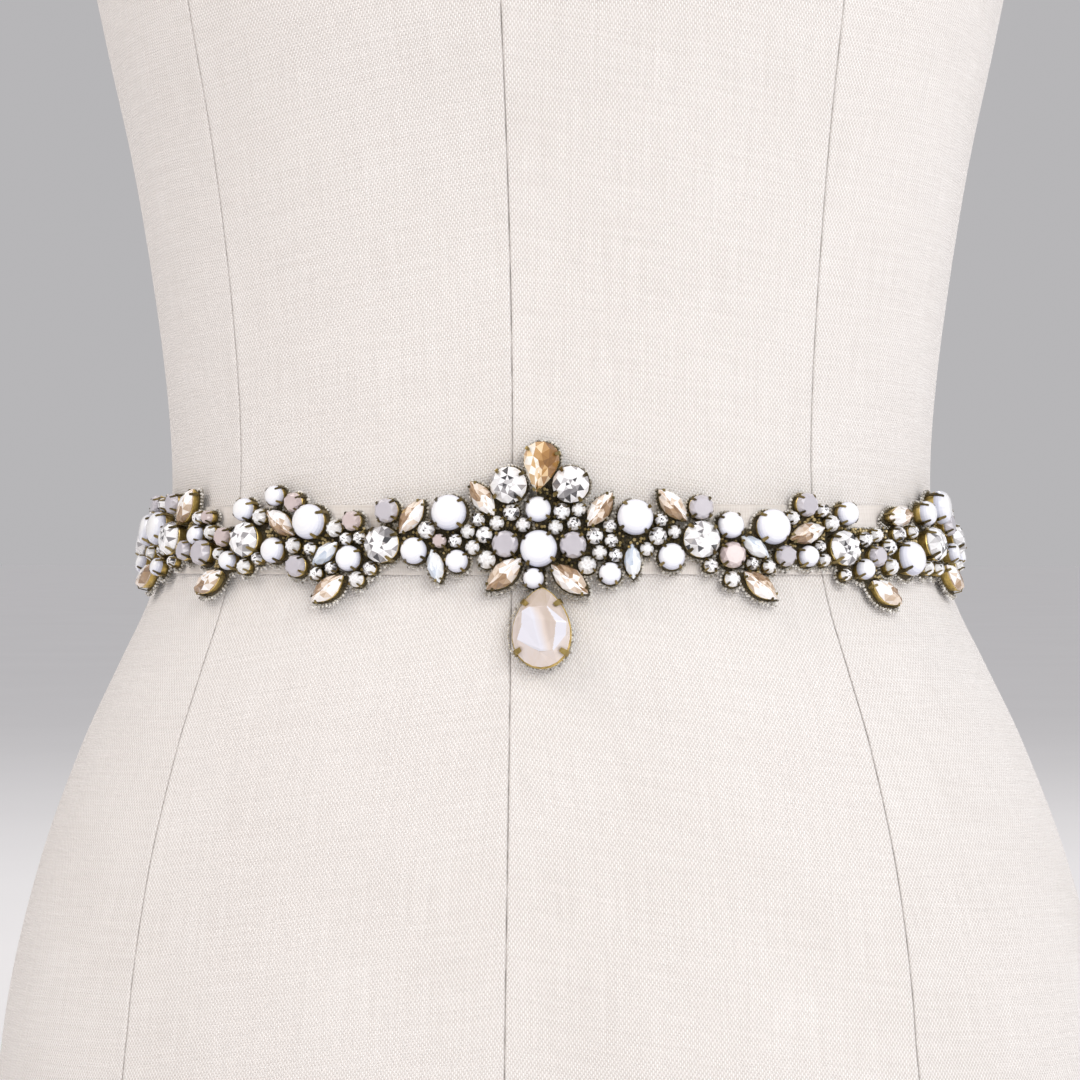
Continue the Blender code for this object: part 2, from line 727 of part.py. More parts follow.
def build_drop():
    """The pear stone in its setting: a plate behind it, and a prong at each side of it, top and bottom."""
    plate_under = CLEAR_OF_FORM + RIBBON_WALL + SEAM_GAP + BACKING_WALL + SEAM_GAP
    prongs = []
    plate = drop_outline(SETTING_MARGIN)
    shapes = [plate]
    for turn in PRONG_TURNS:
        seat = prong_seat(turn)
        outward = (seat - drop_middle()).normalized()
        middle = seat + outward * (SEAM_GAP + PRONG_WIDTH / 2)
        side = Vector((-outward.y, outward.x))
        half = PRONG_WIDTH / 2
        outline = [middle - outward * half - side * half, middle + outward * half - side * half,
                   middle + outward * half + side * half, middle - outward * half + side * half]
        prongs.append({"outline": outline, "middle": middle, "layers": [(PRONG_TIP_SCALE, PRONG_HEIGHT)]})
        shapes.append([middle + (corner - middle) * PRONG_FOOT_SCALE for corner in outline])
    raised_panel("drop_setting", "gold", border_of(shapes, SETTING_STEP), prongs, plate_under, SETTING_WALL)
    seat = plate_under + SETTING_WALL + DROP_SEAT
    point, along, up, outward = surface_frame(drop_middle().x, drop_middle().y)
    model = bmesh.new()
    rings = []
    for scale, level in DROP_LAYERS:
        ring = []
        for corner in drop_outline():
            offset = (corner - drop_middle()) * scale
            place = point + along * offset.x + up * offset.y + outward * (seat + level * DROP_THICKNESS)
            ring.append(model.verts.new(to_scene(place)))
        rings.append(ring)
    for lower, upper in zip(rings, rings[1:]):
        for index in range(DROP_SIDES):
            after = (index + 1) % DROP_SIDES
            model.faces.new((lower[index], lower[after], upper[after], upper[index]))
    model.faces.new(list(reversed(rings[0])))
    model.faces.new(rings[-1])
    make_object("drop_stone", model, "ivory_glass")


def prong_seat(turn):
    """The point of the drop's edge where a prong stands, by its turn from the tip."""
    return drop_middle() + pear_point(DROP_LENGTH, DROP_WIDTH, math.radians(turn), 1, FULL_PEAR)


def build():
    for left_over in list(bpy.data.objects):
        bpy.data.objects.remove(left_over)
    make_materials()
    build_dress_form()
    build_ribbon()
    build_applique(read_stones())
    build_drop()


build()
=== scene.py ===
"""Looks of the bridal sash on its dress form: linen cover, ribbon, applique of stones and the pear drop.

Sizes are in millimetres until a mesh is made. The sash is laid out flat, as "along" and "up", and then
wrapped on the form with the same sections and the same chart of stones that the solids come from.
"""
import bisect
import math
import random

import bpy
from mathutils import Matrix, Vector
from mathutils.geometry import delaunay_2d_cdt


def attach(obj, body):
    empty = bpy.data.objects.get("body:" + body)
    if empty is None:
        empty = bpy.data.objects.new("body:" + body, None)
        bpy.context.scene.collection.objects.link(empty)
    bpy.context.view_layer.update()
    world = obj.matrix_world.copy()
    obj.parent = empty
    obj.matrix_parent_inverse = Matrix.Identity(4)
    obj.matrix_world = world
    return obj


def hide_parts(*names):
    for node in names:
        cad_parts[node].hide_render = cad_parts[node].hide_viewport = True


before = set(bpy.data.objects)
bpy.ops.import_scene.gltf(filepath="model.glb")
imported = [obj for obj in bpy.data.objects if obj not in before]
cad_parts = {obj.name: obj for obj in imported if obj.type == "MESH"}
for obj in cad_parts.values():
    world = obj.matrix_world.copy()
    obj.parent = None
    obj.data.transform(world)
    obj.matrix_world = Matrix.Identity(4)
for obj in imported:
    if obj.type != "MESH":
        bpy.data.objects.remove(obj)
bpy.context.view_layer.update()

MM = 0.001
BODY = "root"
ROUND = 2 * math.pi
# Angles between faces, in degrees, from which their edge stays sharp
SHARP_STONE = 38.0
SHARP_CLOTH = 50.0
# How far to either side of a place its surface directions are taken: an angle and a height
ANGLE_STEP = 0.004
HEIGHT_STEP = 0.5

# The form's sections and the sash's sizes are those of the solids, only the backing is slimmer. A section
# has its height above the waist, its half width, and its depth in front and behind
WAIST_HEIGHT = 250.0
SECTION_SQUARENESS = 2.15
FORM_SECTIONS = (
    (-250.0, 171.0, 104.0, 119.0),
    (-245.0, 176.0, 108.0, 123.0),
    (-193.0, 182.0, 111.0, 127.0),
    (-150.0, 178.5, 109.0, 123.0),
    (-104.0, 167.5, 104.0, 115.0),
    (-65.0, 153.0, 99.5, 106.0),
    (-39.0, 140.6, 96.5, 100.5),
    (-19.5, 131.2, 94.3, 97.0),
    (0.0, 125.3, 92.5, 95.0),
    (16.0, 123.4, 91.8, 94.0),
    (45.0, 124.8, 92.5, 94.5),
    (84.0, 129.7, 97.5, 97.5),
    (123.0, 136.2, 107.0, 101.0),
    (162.0, 144.5, 119.5, 104.0),
    (198.0, 151.0, 127.0, 107.0),
    (238.0, 151.5, 121.0, 109.0),
    (278.0, 154.0, 103.0, 108.0),
    (306.0, 156.0, 86.0, 102.0),
    (326.0, 148.0, 73.0, 92.0),
    (346.0, 124.0, 61.0, 79.0),
    (362.0, 94.0, 54.0, 68.0),
    (378.0, 68.0, 49.5, 60.0),
    (394.0, 57.0, 47.5, 55.5),
    (418.0, 53.0, 47.0, 54.0),
    (446.0, 53.0, 48.0, 54.0),
    (452.0, 49.0, 44.0, 50.0),
)
RIBBON_WIDTH = 21.0
RIBBON_WALL = 1.0
LAP_LENGTH = 34.0
LAP_RISE = 12.0
CLEAR_OF_FORM = 0.45
SEAM_GAP = 0.3
SASH_MIDDLE = 9.0
BACKING_WALL = 1.0
BACKING_MARGIN = 0.3
DROP_BACKING_MARGIN = -0.6
BACKING_SIDES = 20
DROP_BACKING_SIDES = 40
BORDER_STEP = 0.35
SPINE_HALF_LENGTH = 186.0
SPINE_STEPS = 60
SPINE_HALF_HEIGHT = 3.2
STEM_HALF_WIDTH = 1.3
STONE_GAP = 0.4
SETTLE_ROUNDS = 80
STONE_BASE_HEIGHT = 2.8
STONE_HEIGHT_RATIO = 0.42
NAVETTE_WIDTH = 0.5
PEAR_WIDTH = 0.7
SLENDER_PEAR = (1.0, 0.3849)
FULL_PEAR = (0.7, 0.4426)
NAVETTE_DISCS = ((0.0, 0.25), (0.2, 0.21), (-0.2, 0.21), (0.36, 0.12), (-0.36, 0.12))
PEAR_DISCS = ((0.16, 0.34), (-0.1, 0.26), (-0.3, 0.13))
DROP_ALONG = 0.0
DROP_TIP = -14.9
DROP_LENGTH = 23.4
DROP_WIDTH = 17.2
DROP_THICKNESS = 6.2
SETTING_WALL = 0.9
PRONG_TURNS = (50.0, 129.0, 231.0, 310.0)
DROP_SEAT = 0.45
APPLIQUE_UNDER = CLEAR_OF_FORM + RIBBON_WALL + SEAM_GAP
APPLIQUE_FACE = APPLIQUE_UNDER + BACKING_WALL

# Every stone: its kind, its length, its middle on the flat sash, and its turn where it has one
STONE_CHART = """
kind size along up turn
gold_pear 15.2 0.4 20.4 -9
white 7.6 -0.6 8.9
white 11.0 -1.2 -2.6
white 6.2 -2.0 -11.2
clear 11.0 -8.2 16.4
champagne 12.6 -16.6 10.3 -54
clear 5.0 -8.3 7.9
opal 4.4 -5.1 4.0
opal 4.4 -13.6 5.1
clear 4.1 -18.1 4.2
grey 8.0 -9.5 -0.8
clear 5.0 -16.1 1.3
opal 4.3 -21.5 1.9
opal 4.4 -19.8 -2.2
clear 4.1 -25.5 -0.1
rose 4.3 -29.3 -0.4
opal 5.4 -15.3 -6.3
champagne 14.0 -10.5 -10.3 42
white 6.8 -24.8 -6.1
blue 10.4 -29.6 -7.2 -75
white 10.7 -26.8 7.7
clear 5.4 -33.3 2.2
champagne 12.6 -38.8 6.4 54
white 8.0 -38.1 -3.6
clear 11.0 -47.2 -1.8
grey 7.4 -46.2 8.5
clear 4.2 -50.3 -8.8
rose 6.0 -57.2 5.1
clear 4.0 -59.0 -0.4
clear 4.0 -54.2 -0.4
white 7.8 -58.2 -5.7
blue 10.7 -64.5 -3.2 40
opal 4.8 -53.8 -12.2
champagne 13.0 -62.6 -14.8 38
clear 3.9 -61.4 -8.4
clear 4.1 -67.0 -10.4
opal 5.2 -63.3 1.8
white 10.7 -70.8 3.7
clear 4.0 -69.0 -3.6
grey 6.6 -73.7 -8.6
opal 4.9 -76.0 -1.8
champagne 13.0 -82.2 4.4 -36
rose 6.0 -76.6 10.7
white 6.2 -84.0 13.3
white 7.8 -83.3 -4.1
clear 3.8 -87.6 -5.8
opal 5.0 -88.2 5.4
white 7.2 -95.4 8.9
clear 10.7 -93.6 -0.8
opal 4.6 -92.7 -8.8
white 6.0 -98.4 -6.1
rose 6.0 -103.1 0.0
opal 3.9 -103.8 -5.0
opal 4.5 -109.6 1.4
champagne 13.0 -105.0 -12.9 32
grey 8.0 -111.0 -4.6
white 6.2 -116.4 0.5
clear 4.3 -116.6 6.0
rose 4.2 -111.8 6.6
grey 6.4 -120.2 -3.8
champagne 13.0 -124.6 8.2 60
grey 6.6 -132.4 11.0
clear 10.7 -128.6 0.6
clear 3.6 -127.6 -7.2
white 5.8 -136.2 -9.8
clear 4.4 -136.6 -4.4
white 10.7 -140.6 2.6
clear 4.4 -142.4 10.8
champagne 13.0 -144.6 -13.0 36
grey 7.0 -148.2 10.4
white 10.7 -152.8 2.0
opal 5.0 -146.6 -5.4
clear 10.7 -163.4 -2.6
opal 4.4 -159.8 8.2
white 6.4 -157.0 -8.8
champagne 13.0 -173.0 2.0 -10
opal 4.4 -167.8 6.6
white 6.4 -171.0 -6.6
grey 6.4 -182.2 -2.4
clear 4.2 -187.0 1.8
clear 11.0 7.6 15.0
champagne 12.6 16.5 8.7 54
clear 5.0 6.8 7.9
opal 4.4 4.5 3.9
opal 4.2 11.1 8.0
clear 4.1 9.9 4.2
grey 8.0 8.6 -1.0
clear 5.0 15.9 0.0
clear 4.1 20.0 3.5
opal 4.4 17.8 -4.3
clear 4.1 20.0 -1.2
clear 4.1 22.9 -4.6
opal 5.4 12.9 -7.0
champagne 14.0 7.6 -10.7 -38
white 6.7 19.6 -9.1
blue 10.6 25.9 -4.4 -88
white 10.7 27.9 4.7
clear 5.4 33.6 1.0
clear 4.0 35.8 5.1
opal 4.0 38.2 1.4
opal 4.1 29.9 -2.0
champagne 12.6 38.2 8.3 -47
white 8.0 36.7 -4.1
clear 11.0 46.1 -0.8
grey 7.4 45.8 9.1
clear 4.2 48.4 -7.6
white 8.0 55.7 3.6
rose 8.0 55.2 -4.5
opal 4.8 54.6 -12.2
blue 10.7 62.2 -2.3 -36
champagne 13.0 61.7 -14.2 -40
clear 3.9 60.7 -7.9
opal 4.1 65.8 -8.5
white 10.7 69.4 3.1
grey 6.4 71.2 -5.3
opal 4.0 75.4 6.4
champagne 12.6 79.1 1.0 16
grey 7.2 80.1 8.9
white 6.4 78.9 -5.6
clear 3.7 83.4 -2.3
opal 3.8 83.6 -6.6
clear 3.9 85.2 7.4
opal 5.0 88.3 3.6
white 7.2 93.6 7.3
clear 10.7 91.6 -3.7
clear 3.6 90.0 -11.4
white 6.4 96.0 -9.4
clear 4.8 99.8 -0.6
opal 4.3 104.2 0.6
grey 6.4 102.5 -6.4
clear 5.0 108.7 -3.2
opal 5.0 107.5 -9.2
champagne 13.0 101.6 -15.0 -35
clear 5.0 114.0 1.4
white 10.7 116.0 -7.0
champagne 12.6 116.2 6.0 5
clear 4.1 121.6 1.6
clear 10.7 131.6 -2.6
white 7.8 130.6 7.6
opal 4.4 125.4 -10.0
clear 4.1 132.2 -10.4
white 10.7 140.8 9.6
opal 4.0 139.6 -0.2
champagne 13.0 141.6 -13.6 -40
grey 7.8 148.8 4.0
white 6.4 148.4 -5.6
clear 10.7 157.4 -1.0
opal 4.4 154.8 8.2
opal 4.4 155.8 -9.6
champagne 13.0 170.0 1.0 10
opal 4.6 166.2 7.4
white 6.4 166.4 -6.6
grey 6.4 180.4 -2.0
clear 4.2 185.8 1.2
"""

# Camera: lens and place worked out from the form's seams and the stones' sizes in the photograph
CAMERA_TURN = 7.1
CAMERA_DISTANCE = 1.040
CAMERA_SIDESTEP = -0.0031
SENSOR = 36.0
LENS = 106.0


def section_slope(index, column):
    below = FORM_SECTIONS[max(index - 1, 0)]
    above = FORM_SECTIONS[min(index + 1, len(FORM_SECTIONS) - 1)]
    return (above[column] - below[column]) / (above[0] - below[0])


def form_profile(height):
    """Half width and depths of the form at a height above the waist, smooth through its sections."""
    heights = [row[0] for row in FORM_SECTIONS]
    height = min(max(height, heights[0]), heights[-1])
    lower = min(bisect.bisect_right(heights, height) - 1, len(heights) - 2)
    span = heights[lower + 1] - heights[lower]
    part = (height - heights[lower]) / span
    values = []
    for column in (1, 2, 3):
        start = FORM_SECTIONS[lower][column]
        end = FORM_SECTIONS[lower + 1][column]
        start_slope = section_slope(lower, column) * span
        end_slope = section_slope(lower + 1, column) * span
        cubic = (2 * start - 2 * end + start_slope + end_slope) * part ** 3
        square = (3 * end - 3 * start - 2 * start_slope - end_slope) * part ** 2
        values.append(cubic + square + start_slope * part + start)
    return values


def squared_off(value):
    return math.copysign(abs(value) ** (2 / SECTION_SQUARENESS), value)


def profile_point(profile, angle, height):
    """The surface point at an angle of a section whose half width and depths are known."""
    half_width, front, back = profile
    depth = front if math.cos(angle) > 0 else back
    return Vector((half_width * squared_off(math.sin(angle)), -depth * squared_off(math.cos(angle)), height))


def section_point(angle, height):
    return profile_point(form_profile(height), angle, height)


def arcs_round(height, steps=1440):
    """Angles round a section, and the distance along it from the front to each of them."""
    profile = form_profile(height)
    angles = [ROUND * step / steps - math.pi for step in range(steps + 1)]
    points = [profile_point(profile, angle, height) for angle in angles]
    arcs = [0.0]
    for first, second in zip(points, points[1:]):
        arcs.append(arcs[-1] + (second - first).length)
    middle = arcs[steps // 2]
    return angles, [arc - middle for arc in arcs]


WAIST_ANGLES, WAIST_ARCS = arcs_round(0.0)
GIRTH = WAIST_ARCS[-1] - WAIST_ARCS[0]


def between(value, keys, values):
    """Reads a table of rising keys at a value, in straight lines."""
    upper = min(max(bisect.bisect_left(keys, value), 1), len(keys) - 1)
    part = (value - keys[upper - 1]) / (keys[upper] - keys[upper - 1])
    return values[upper - 1] + part * (values[upper] - values[upper - 1])


def angle_at(along):
    """The angle round the waist at a distance from the front, which may go past the centre back."""
    turns = math.floor((along - WAIST_ARCS[0]) / GIRTH)
    return between(along - turns * GIRTH, WAIST_ARCS, WAIST_ANGLES) + turns * ROUND


def surface_frame(along, up):
    """The form's surface point at a place of the sash, with its directions along, up and outwards."""
    angle = angle_at(along + SASH_MIDDLE)
    across = section_point(angle + ANGLE_STEP, up) - section_point(angle - ANGLE_STEP, up)
    rise = section_point(angle, up + HEIGHT_STEP) - section_point(angle, up - HEIGHT_STEP)
    outward = across.cross(rise).normalized()
    across.normalize()
    return section_point(angle, up), across, outward.cross(across).normalized(), outward


def on_form(along, up, out):
    point, _, _, outward = surface_frame(along, up)
    return point + outward * out


def to_scene(point):
    return Vector((point.x, point.y, point.z + WAIST_HEIGHT)) * MM


def outline_point(shape, size, turn):
    """A point of a stone's outline: round, a pointed navette, or a pear with its tip down."""
    if shape == "navette":
        half = size / 2
        return Vector((half * math.cos(turn), half * NAVETTE_WIDTH * math.sin(turn) * abs(math.sin(turn))))
    if shape == "pear":
        return pear_point(size, size * PEAR_WIDTH, turn + math.pi / 2, -1, SLENDER_PEAR)
    return Vector((math.cos(turn), math.sin(turn))) * (size / 2)


def pear_point(length, width, turn, tip, fullness):
    """A pear's edge at a turn from its tip. Its fullness is the power of its width and that width's peak."""
    power, peak = fullness
    side = math.copysign(width / 2, math.sin(turn))
    across = side * abs(math.sin(turn / 2)) ** (2 * power) * abs(math.cos(turn / 2)) / peak
    return Vector((across, tip * length / 2 * math.cos(turn)))


def grown(points, margin):
    """An outline moved outwards all round, point by point."""
    moved = []
    for index, point in enumerate(points):
        edge = points[(index + 1) % len(points)] - points[index - 1]
        moved.append(point + Vector((edge.y, -edge.x)).normalized() * margin)
    return moved


class Stone:
    """One stone of the chart, placed on the flat sash."""

    def __init__(self, kind, size, along, up, turn=0.0):
        self.kind = kind
        self.size = size
        self.middle = Vector((along, up))
        self.turned = Matrix.Rotation(math.radians(turn), 2)
        self.shape = {"champagne": "navette", "blue": "navette", "gold_pear": "pear"}.get(kind, "round")
        share = {"navette": NAVETTE_WIDTH, "pear": PEAR_WIDTH, "round": 1.0}[self.shape]
        self.width = size * share
        self.height = STONE_BASE_HEIGHT + STONE_HEIGHT_RATIO * self.width

    def rim(self, turn):
        """A point of the outline about the stone's middle."""
        return self.turned @ outline_point(self.shape, self.size, turn)

    def ring(self, sides, offset=0.0):
        return [self.rim(ROUND * (side + offset) / sides) for side in range(sides)]

    def discs(self):
        if self.shape == "round":
            return [(Vector((0.0, 0.0)), self.size / 2)]
        if self.shape == "navette":
            return [(self.turned @ Vector((self.size * place, 0.0)), self.size * radius)
                    for place, radius in NAVETTE_DISCS]
        return [(self.turned @ Vector((0.0, self.size * place)), self.size * radius)
                for place, radius in PEAR_DISCS]


def read_stones():
    rows = [line.split() for line in STONE_CHART.strip().splitlines()]
    return settle([Stone(row[0], *[float(value) for value in row[1:]]) for row in rows[1:]])


def settle(stones):
    """Pushes stones that would touch apart until each stands clear of the rest."""
    near = [(first, second) for index, first in enumerate(stones) for second in stones[index + 1:]
            if abs(first.middle.x - second.middle.x) < first.size + second.size]
    for _ in range(SETTLE_ROUNDS):
        for first, second in near:
            push = closest_push(first, second)
            if push is not None:
                first.middle -= push / 2
                second.middle += push / 2
    return stones


def closest_push(first, second):
    deepest = None
    for first_place, first_radius in first.discs():
        for second_place, second_radius in second.discs():
            apart = (second.middle + second_place) - (first.middle + first_place)
            short = first_radius + second_radius + STONE_GAP - apart.length
            if short > 1e-4 and (deepest is None or short > deepest.length):
                deepest = apart.normalized() * short
    return deepest


def border_of(shapes, step):
    """The outer border of flat shapes laid over each other, with its points at least a step apart."""
    points = []
    faces = []
    for shape in shapes:
        faces.append(list(range(len(points), len(points) + len(shape))))
        points.extend(shape)
    corners, _, triangles, _, _, _ = delaunay_2d_cdt(points, [], faces, 1, 1e-4)
    directed = {(face[side], face[(side + 1) % 3]) for face in triangles for side in range(3)}
    following = {first: second for first, second in directed if (second, first) not in directed}
    loops = []
    while following:
        loop = [next(iter(sorted(following)))]
        while loop[-1] in following:
            loop.append(following.pop(loop[-1]))
        loops.append([corners[index] for index in loop[:-1]])
    border = max(loops, key=lambda loop: abs(flat_area(loop)))
    kept = [border[0]]
    for point in border[1:]:
        if (point - kept[-1]).length >= step:
            kept.append(point)
    return kept


def flat_area(loop):
    return sum(first.cross(second) for first, second in zip(loop, loop[1:] + loop[:1])) / 2


def inside(border, point):
    """Whether a flat point lies inside an outline."""
    crossings = 0
    for first, second in zip(border, border[1:] + border[:1]):
        if (first.y > point.y) != (second.y > point.y):
            reach = first.x + (point.y - first.y) / (second.y - first.y) * (second.x - first.x)
            crossings += reach > point.x
    return crossings % 2 == 1


def put_in_scene(name, data):
    made = bpy.data.objects.new(name, data)
    bpy.context.scene.collection.objects.link(made)
    return made


def make_object(name, points, faces, material, sharp=None):
    """A mesh object from points in metres: flat-faced, or smooth up to an angle in degrees."""
    mesh = bpy.data.meshes.new(name)
    mesh.from_pydata([tuple(point) for point in points], [], faces)
    mesh.materials.append(material)
    if sharp is not None:
        mesh.shade_smooth()
        mesh.set_sharp_from_angle(angle=math.radians(sharp))
    return put_in_scene(name, mesh)


def ring_faces(first, second, sides):
    """The quads between two closed rings of points, given as where each ring starts."""
    return [(first + side, first + (side + 1) % sides, second + (side + 1) % sides, second + side)
            for side in range(sides)]


def tube_faces(rings, sides):
    """The quads between closed rings of points that follow one another."""
    return [face for ring in range(rings - 1)
            for face in ring_faces(ring * sides, (ring + 1) * sides, sides)]


def stacked(outline, rows, place, height=1.0):
    """Rings of one outline above each other, each row given as its scale and its level."""
    return [place(corner.x * scale, corner.y * scale, level * height)
            for scale, level in rows for corner in outline]


def filled(border, extra):
    """Corners and triangles of a flat outline with extra points inside it."""
    corners, _, triangles, _, _, _ = delaunay_2d_cdt(border + extra, [], [list(range(len(border)))], 1, 1e-5)
    return corners, triangles


class Heap:
    """Points and faces of many small things that become one mesh."""

    def __init__(self):
        self.points = []
        self.faces = []
        self.tones = []

    def add(self, points, faces, tones=None):
        first = len(self.points)
        self.points.extend(points)
        self.faces.extend([tuple(first + corner for corner in face) for face in faces])
        self.tones.extend(tones if tones else [1.0] * len(faces))

    def build(self, name, material, slot, replaced=(), smooth=True):
        points = [to_scene(point) for point in self.points]
        made = make_object(name, points, self.faces, material, SHARP_STONE if smooth else None)
        tone = made.data.attributes.new("tone", "FLOAT", "FACE")
        tone.data.foreach_set("value", self.tones)
        return finish_piece(made, replaced)


def finish_piece(made, replaced=()):
    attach(made, BODY)
    if replaced:
        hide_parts(*replaced)
    return made


class Look:
    """A Principled material in the making, with the kinds of nodes that the looks here share."""

    def __init__(self, name, colour, roughness, metallic=0.0, **sockets):
        self.material = bpy.data.materials.new(name)
        self.material.use_nodes = True
        self.nodes = self.material.node_tree.nodes
        self.shader = self.nodes["Principled BSDF"]
        self.shader.inputs["Base Color"].default_value = (*colour, 1.0)
        self.shader.inputs["Roughness"].default_value = roughness
        self.shader.inputs["Metallic"].default_value = metallic
        for socket, value in sockets.items():
            self.shader.inputs[socket.replace("_", " ")].default_value = value

    def feed(self, socket, value):
        """Sets a socket, or links another node's output to it."""
        if isinstance(value, bpy.types.NodeSocket):
            self.material.node_tree.links.new(value, socket)
        else:
            socket.default_value = value

    def node(self, kind, inputs, **settings):
        node = self.nodes.new(kind)
        for name, value in settings.items():
            setattr(node, name, value)
        for name, value in inputs.items():
            self.feed(node.inputs[name], value)
        return node

    def math(self, operation, *values, clamp=False):
        settings = {"operation": operation, "use_clamp": clamp}
        return self.node("ShaderNodeMath", dict(enumerate(values)), **settings).outputs[0]

    def total(self, start, *parts):
        """A start value plus shares of others, each given as a value and its share."""
        for value, share in parts:
            start = self.math("MULTIPLY_ADD", value, share, start)
        return start

    def noise(self, vector, scale, detail=2.0, roughness=0.5):
        inputs = {"Scale": scale, "Detail": detail, "Roughness": roughness, "Vector": vector}
        return self.node("ShaderNodeTexNoise", inputs).outputs["Fac"]

    def scaled(self, vector, *scale):
        return self.node("ShaderNodeMapping", {"Scale": scale, "Vector": vector}).outputs["Vector"]

    def ramp(self, factor, stops):
        """A colour ramp: each stop is a place and a colour."""
        node = self.node("ShaderNodeValToRGB", {"Fac": factor})
        elements = node.color_ramp.elements
        while len(elements) < len(stops):
            elements.new(0.5)
        for element, (place, colour) in zip(elements, stops):
            element.position = place
            element.color = (*colour, 1.0)
        return node.outputs["Color"]

    def mix(self, factor, first, second):
        inputs = {"Factor": factor, "A": first, "B": second}
        return self.node("ShaderNodeMix", inputs, data_type="RGBA").outputs["Result"]

    def attribute(self, name):
        return self.node("ShaderNodeAttribute", {}, attribute_name=name).outputs["Fac"]

    def object_place(self):
        return self.nodes.new("ShaderNodeTexCoord").outputs["Object"]

    def cloth_place(self):
        """The cloth's own coordinates in metres, and their two parts."""
        place = self.node("ShaderNodeUVMap", {}, uv_map="cloth").outputs["UV"]
        parts = self.node("ShaderNodeSeparateXYZ", {"Vector": place}).outputs
        return place, parts["X"], parts["Y"]

    def paint(self, colour):
        self.feed(self.shader.inputs["Base Color"], colour)

    def bump(self, height, strength, distance):
        inputs = {"Strength": strength, "Distance": distance, "Height": height}
        normal = self.node("ShaderNodeBump", inputs).outputs["Normal"]
        self.feed(self.shader.inputs["Normal"], normal)


def plain_weave(look, across, along, pitch_across, pitch_along):
    """Heights of a plain weave's warp, and of its threads that pass over and under each other."""
    warp = look.math("SINE", look.math("MULTIPLY", across, math.pi / pitch_across))
    weft = look.math("SINE", look.math("MULTIPLY", along, math.pi / pitch_along))
    warp_up = look.math("MULTIPLY_ADD", look.math("MULTIPLY", warp, weft), 0.5, 0.5)
    weft_up = look.math("SUBTRACT", 1.0, warp_up)
    warp_height = look.math("MULTIPLY", look.math("ABSOLUTE", warp), warp_up)
    weft_height = look.math("MULTIPLY", look.math("ABSOLUTE", weft), weft_up)
    return warp_height, look.math("MAXIMUM", warp_height, weft_height)


# Threads, as metres from one to the next, and how far a slub or streak is drawn out along its thread
LINEN_PITCH = (0.00057, 0.00083)
LINEN_DRAWN = 0.035
RIBBON_PITCH = (0.00052, 0.00042)
RIBBON_DRAWN = 0.03


def linen_material():
    look = Look("linen", (0.80, 0.75, 0.71), 0.92, Sheen_Weight=0.12, Sheen_Roughness=0.5)
    place, across, along = look.cloth_place()
    shift = look.total(-0.0004, (look.noise(place, 220.0), 0.0008))
    across = look.math("ADD", across, shift)
    along = look.math("ADD", along, shift)
    dots, weave = plain_weave(look, across, along, *LINEN_PITCH)
    slub = look.math("ADD", look.noise(look.scaled(place, 1.0, LINEN_DRAWN, 1.0), 900.0),
                     look.noise(look.scaled(place, LINEN_DRAWN, 1.0, 1.0), 900.0))
    cloudy = look.noise(place, 14.0, 3.0)
    tone = look.total(-0.03, (slub, 0.22), (dots, 0.72), (cloudy, 0.22))
    colour = look.ramp(tone, ((0.08, (0.60, 0.55, 0.515)), (0.42, (0.755, 0.715, 0.68)),
                              (0.82, (0.955, 0.935, 0.915))))
    # A dark line along each seam, broken by noise: a painted seam shadow
    broken = look.total(-0.75, (look.noise(look.scaled(place, 0.0, 1.0, 1.0), 110.0, 3.0), 2.6))
    seam_shadow = look.math("MULTIPLY", look.attribute("seam"), broken, clamp=True)
    look.paint(look.mix(seam_shadow, colour, (0.22, 0.195, 0.175, 1.0)))
    look.bump(look.total(weave, (slub, 0.35)), 0.7, 0.00025)
    return look.material


def ribbon_material():
    look = Look("ribbon_weave", (0.83, 0.77, 0.71), 0.55, Sheen_Weight=0.25, Sheen_Roughness=0.4,
                Specular_IOR_Level=0.35)
    place, across, along = look.cloth_place()
    _, weave = plain_weave(look, across, along, *RIBBON_PITCH)
    streaks = look.noise(look.scaled(place, 1.0, RIBBON_DRAWN, 1.0), 2600.0)
    cross = look.noise(look.scaled(place, RIBBON_DRAWN, 1.0, 1.0), 1500.0)
    cloudy = look.noise(place, 60.0, 3.0)
    tone = look.total(-0.35, (streaks, 0.4), (cross, 0.5), (cloudy, 0.3), (weave, 0.5))
    look.paint(look.ramp(tone, ((0.15, (0.67, 0.61, 0.56)), (0.6, (0.88, 0.835, 0.79)),
                                (1.0, (0.97, 0.945, 0.92)))))
    look.bump(look.total(weave, (streaks, 0.5)), 0.5, 0.00012)
    return look.material


def gold_material():
    """Antique gold. A face's tone says how dark it is: nought is near black, one is clean. The dark claws
    are partly patina and partly painted shade.
    """
    look = Look("antique_gold", (0.55, 0.40, 0.17), 0.28, 0.85)
    place = look.object_place()
    tarnish = look.noise(place, 900.0, 4.0, 0.6)
    patches = look.noise(place, 160.0, 2.0)
    colour = look.ramp(look.total(0.0, (tarnish, 0.4), (patches, 0.6)),
                       ((0.32, (0.40, 0.29, 0.085)), (0.50, (0.76, 0.56, 0.18)), (0.72, (1.0, 0.82, 0.40))))
    look.paint(look.mix(look.attribute("tone"), (0.055, 0.042, 0.020, 1.0), colour))
    look.feed(look.shader.inputs["Roughness"], look.total(0.2, (tarnish, 0.35)))
    look.bump(tarnish, 0.25, 0.0001)
    return look.material


def backing_material():
    look = Look("backing_felt", (0.06, 0.05, 0.035), 0.9)
    fibres = look.noise(look.object_place(), 2200.0, 4.0, 0.7)
    look.paint(look.ramp(fibres, ((0.35, (0.026, 0.021, 0.013)), (0.6, (0.12, 0.10, 0.06)),
                                  (0.8, (0.28, 0.245, 0.17)))))
    look.bump(fibres, 0.6, 0.0002)
    return look.material


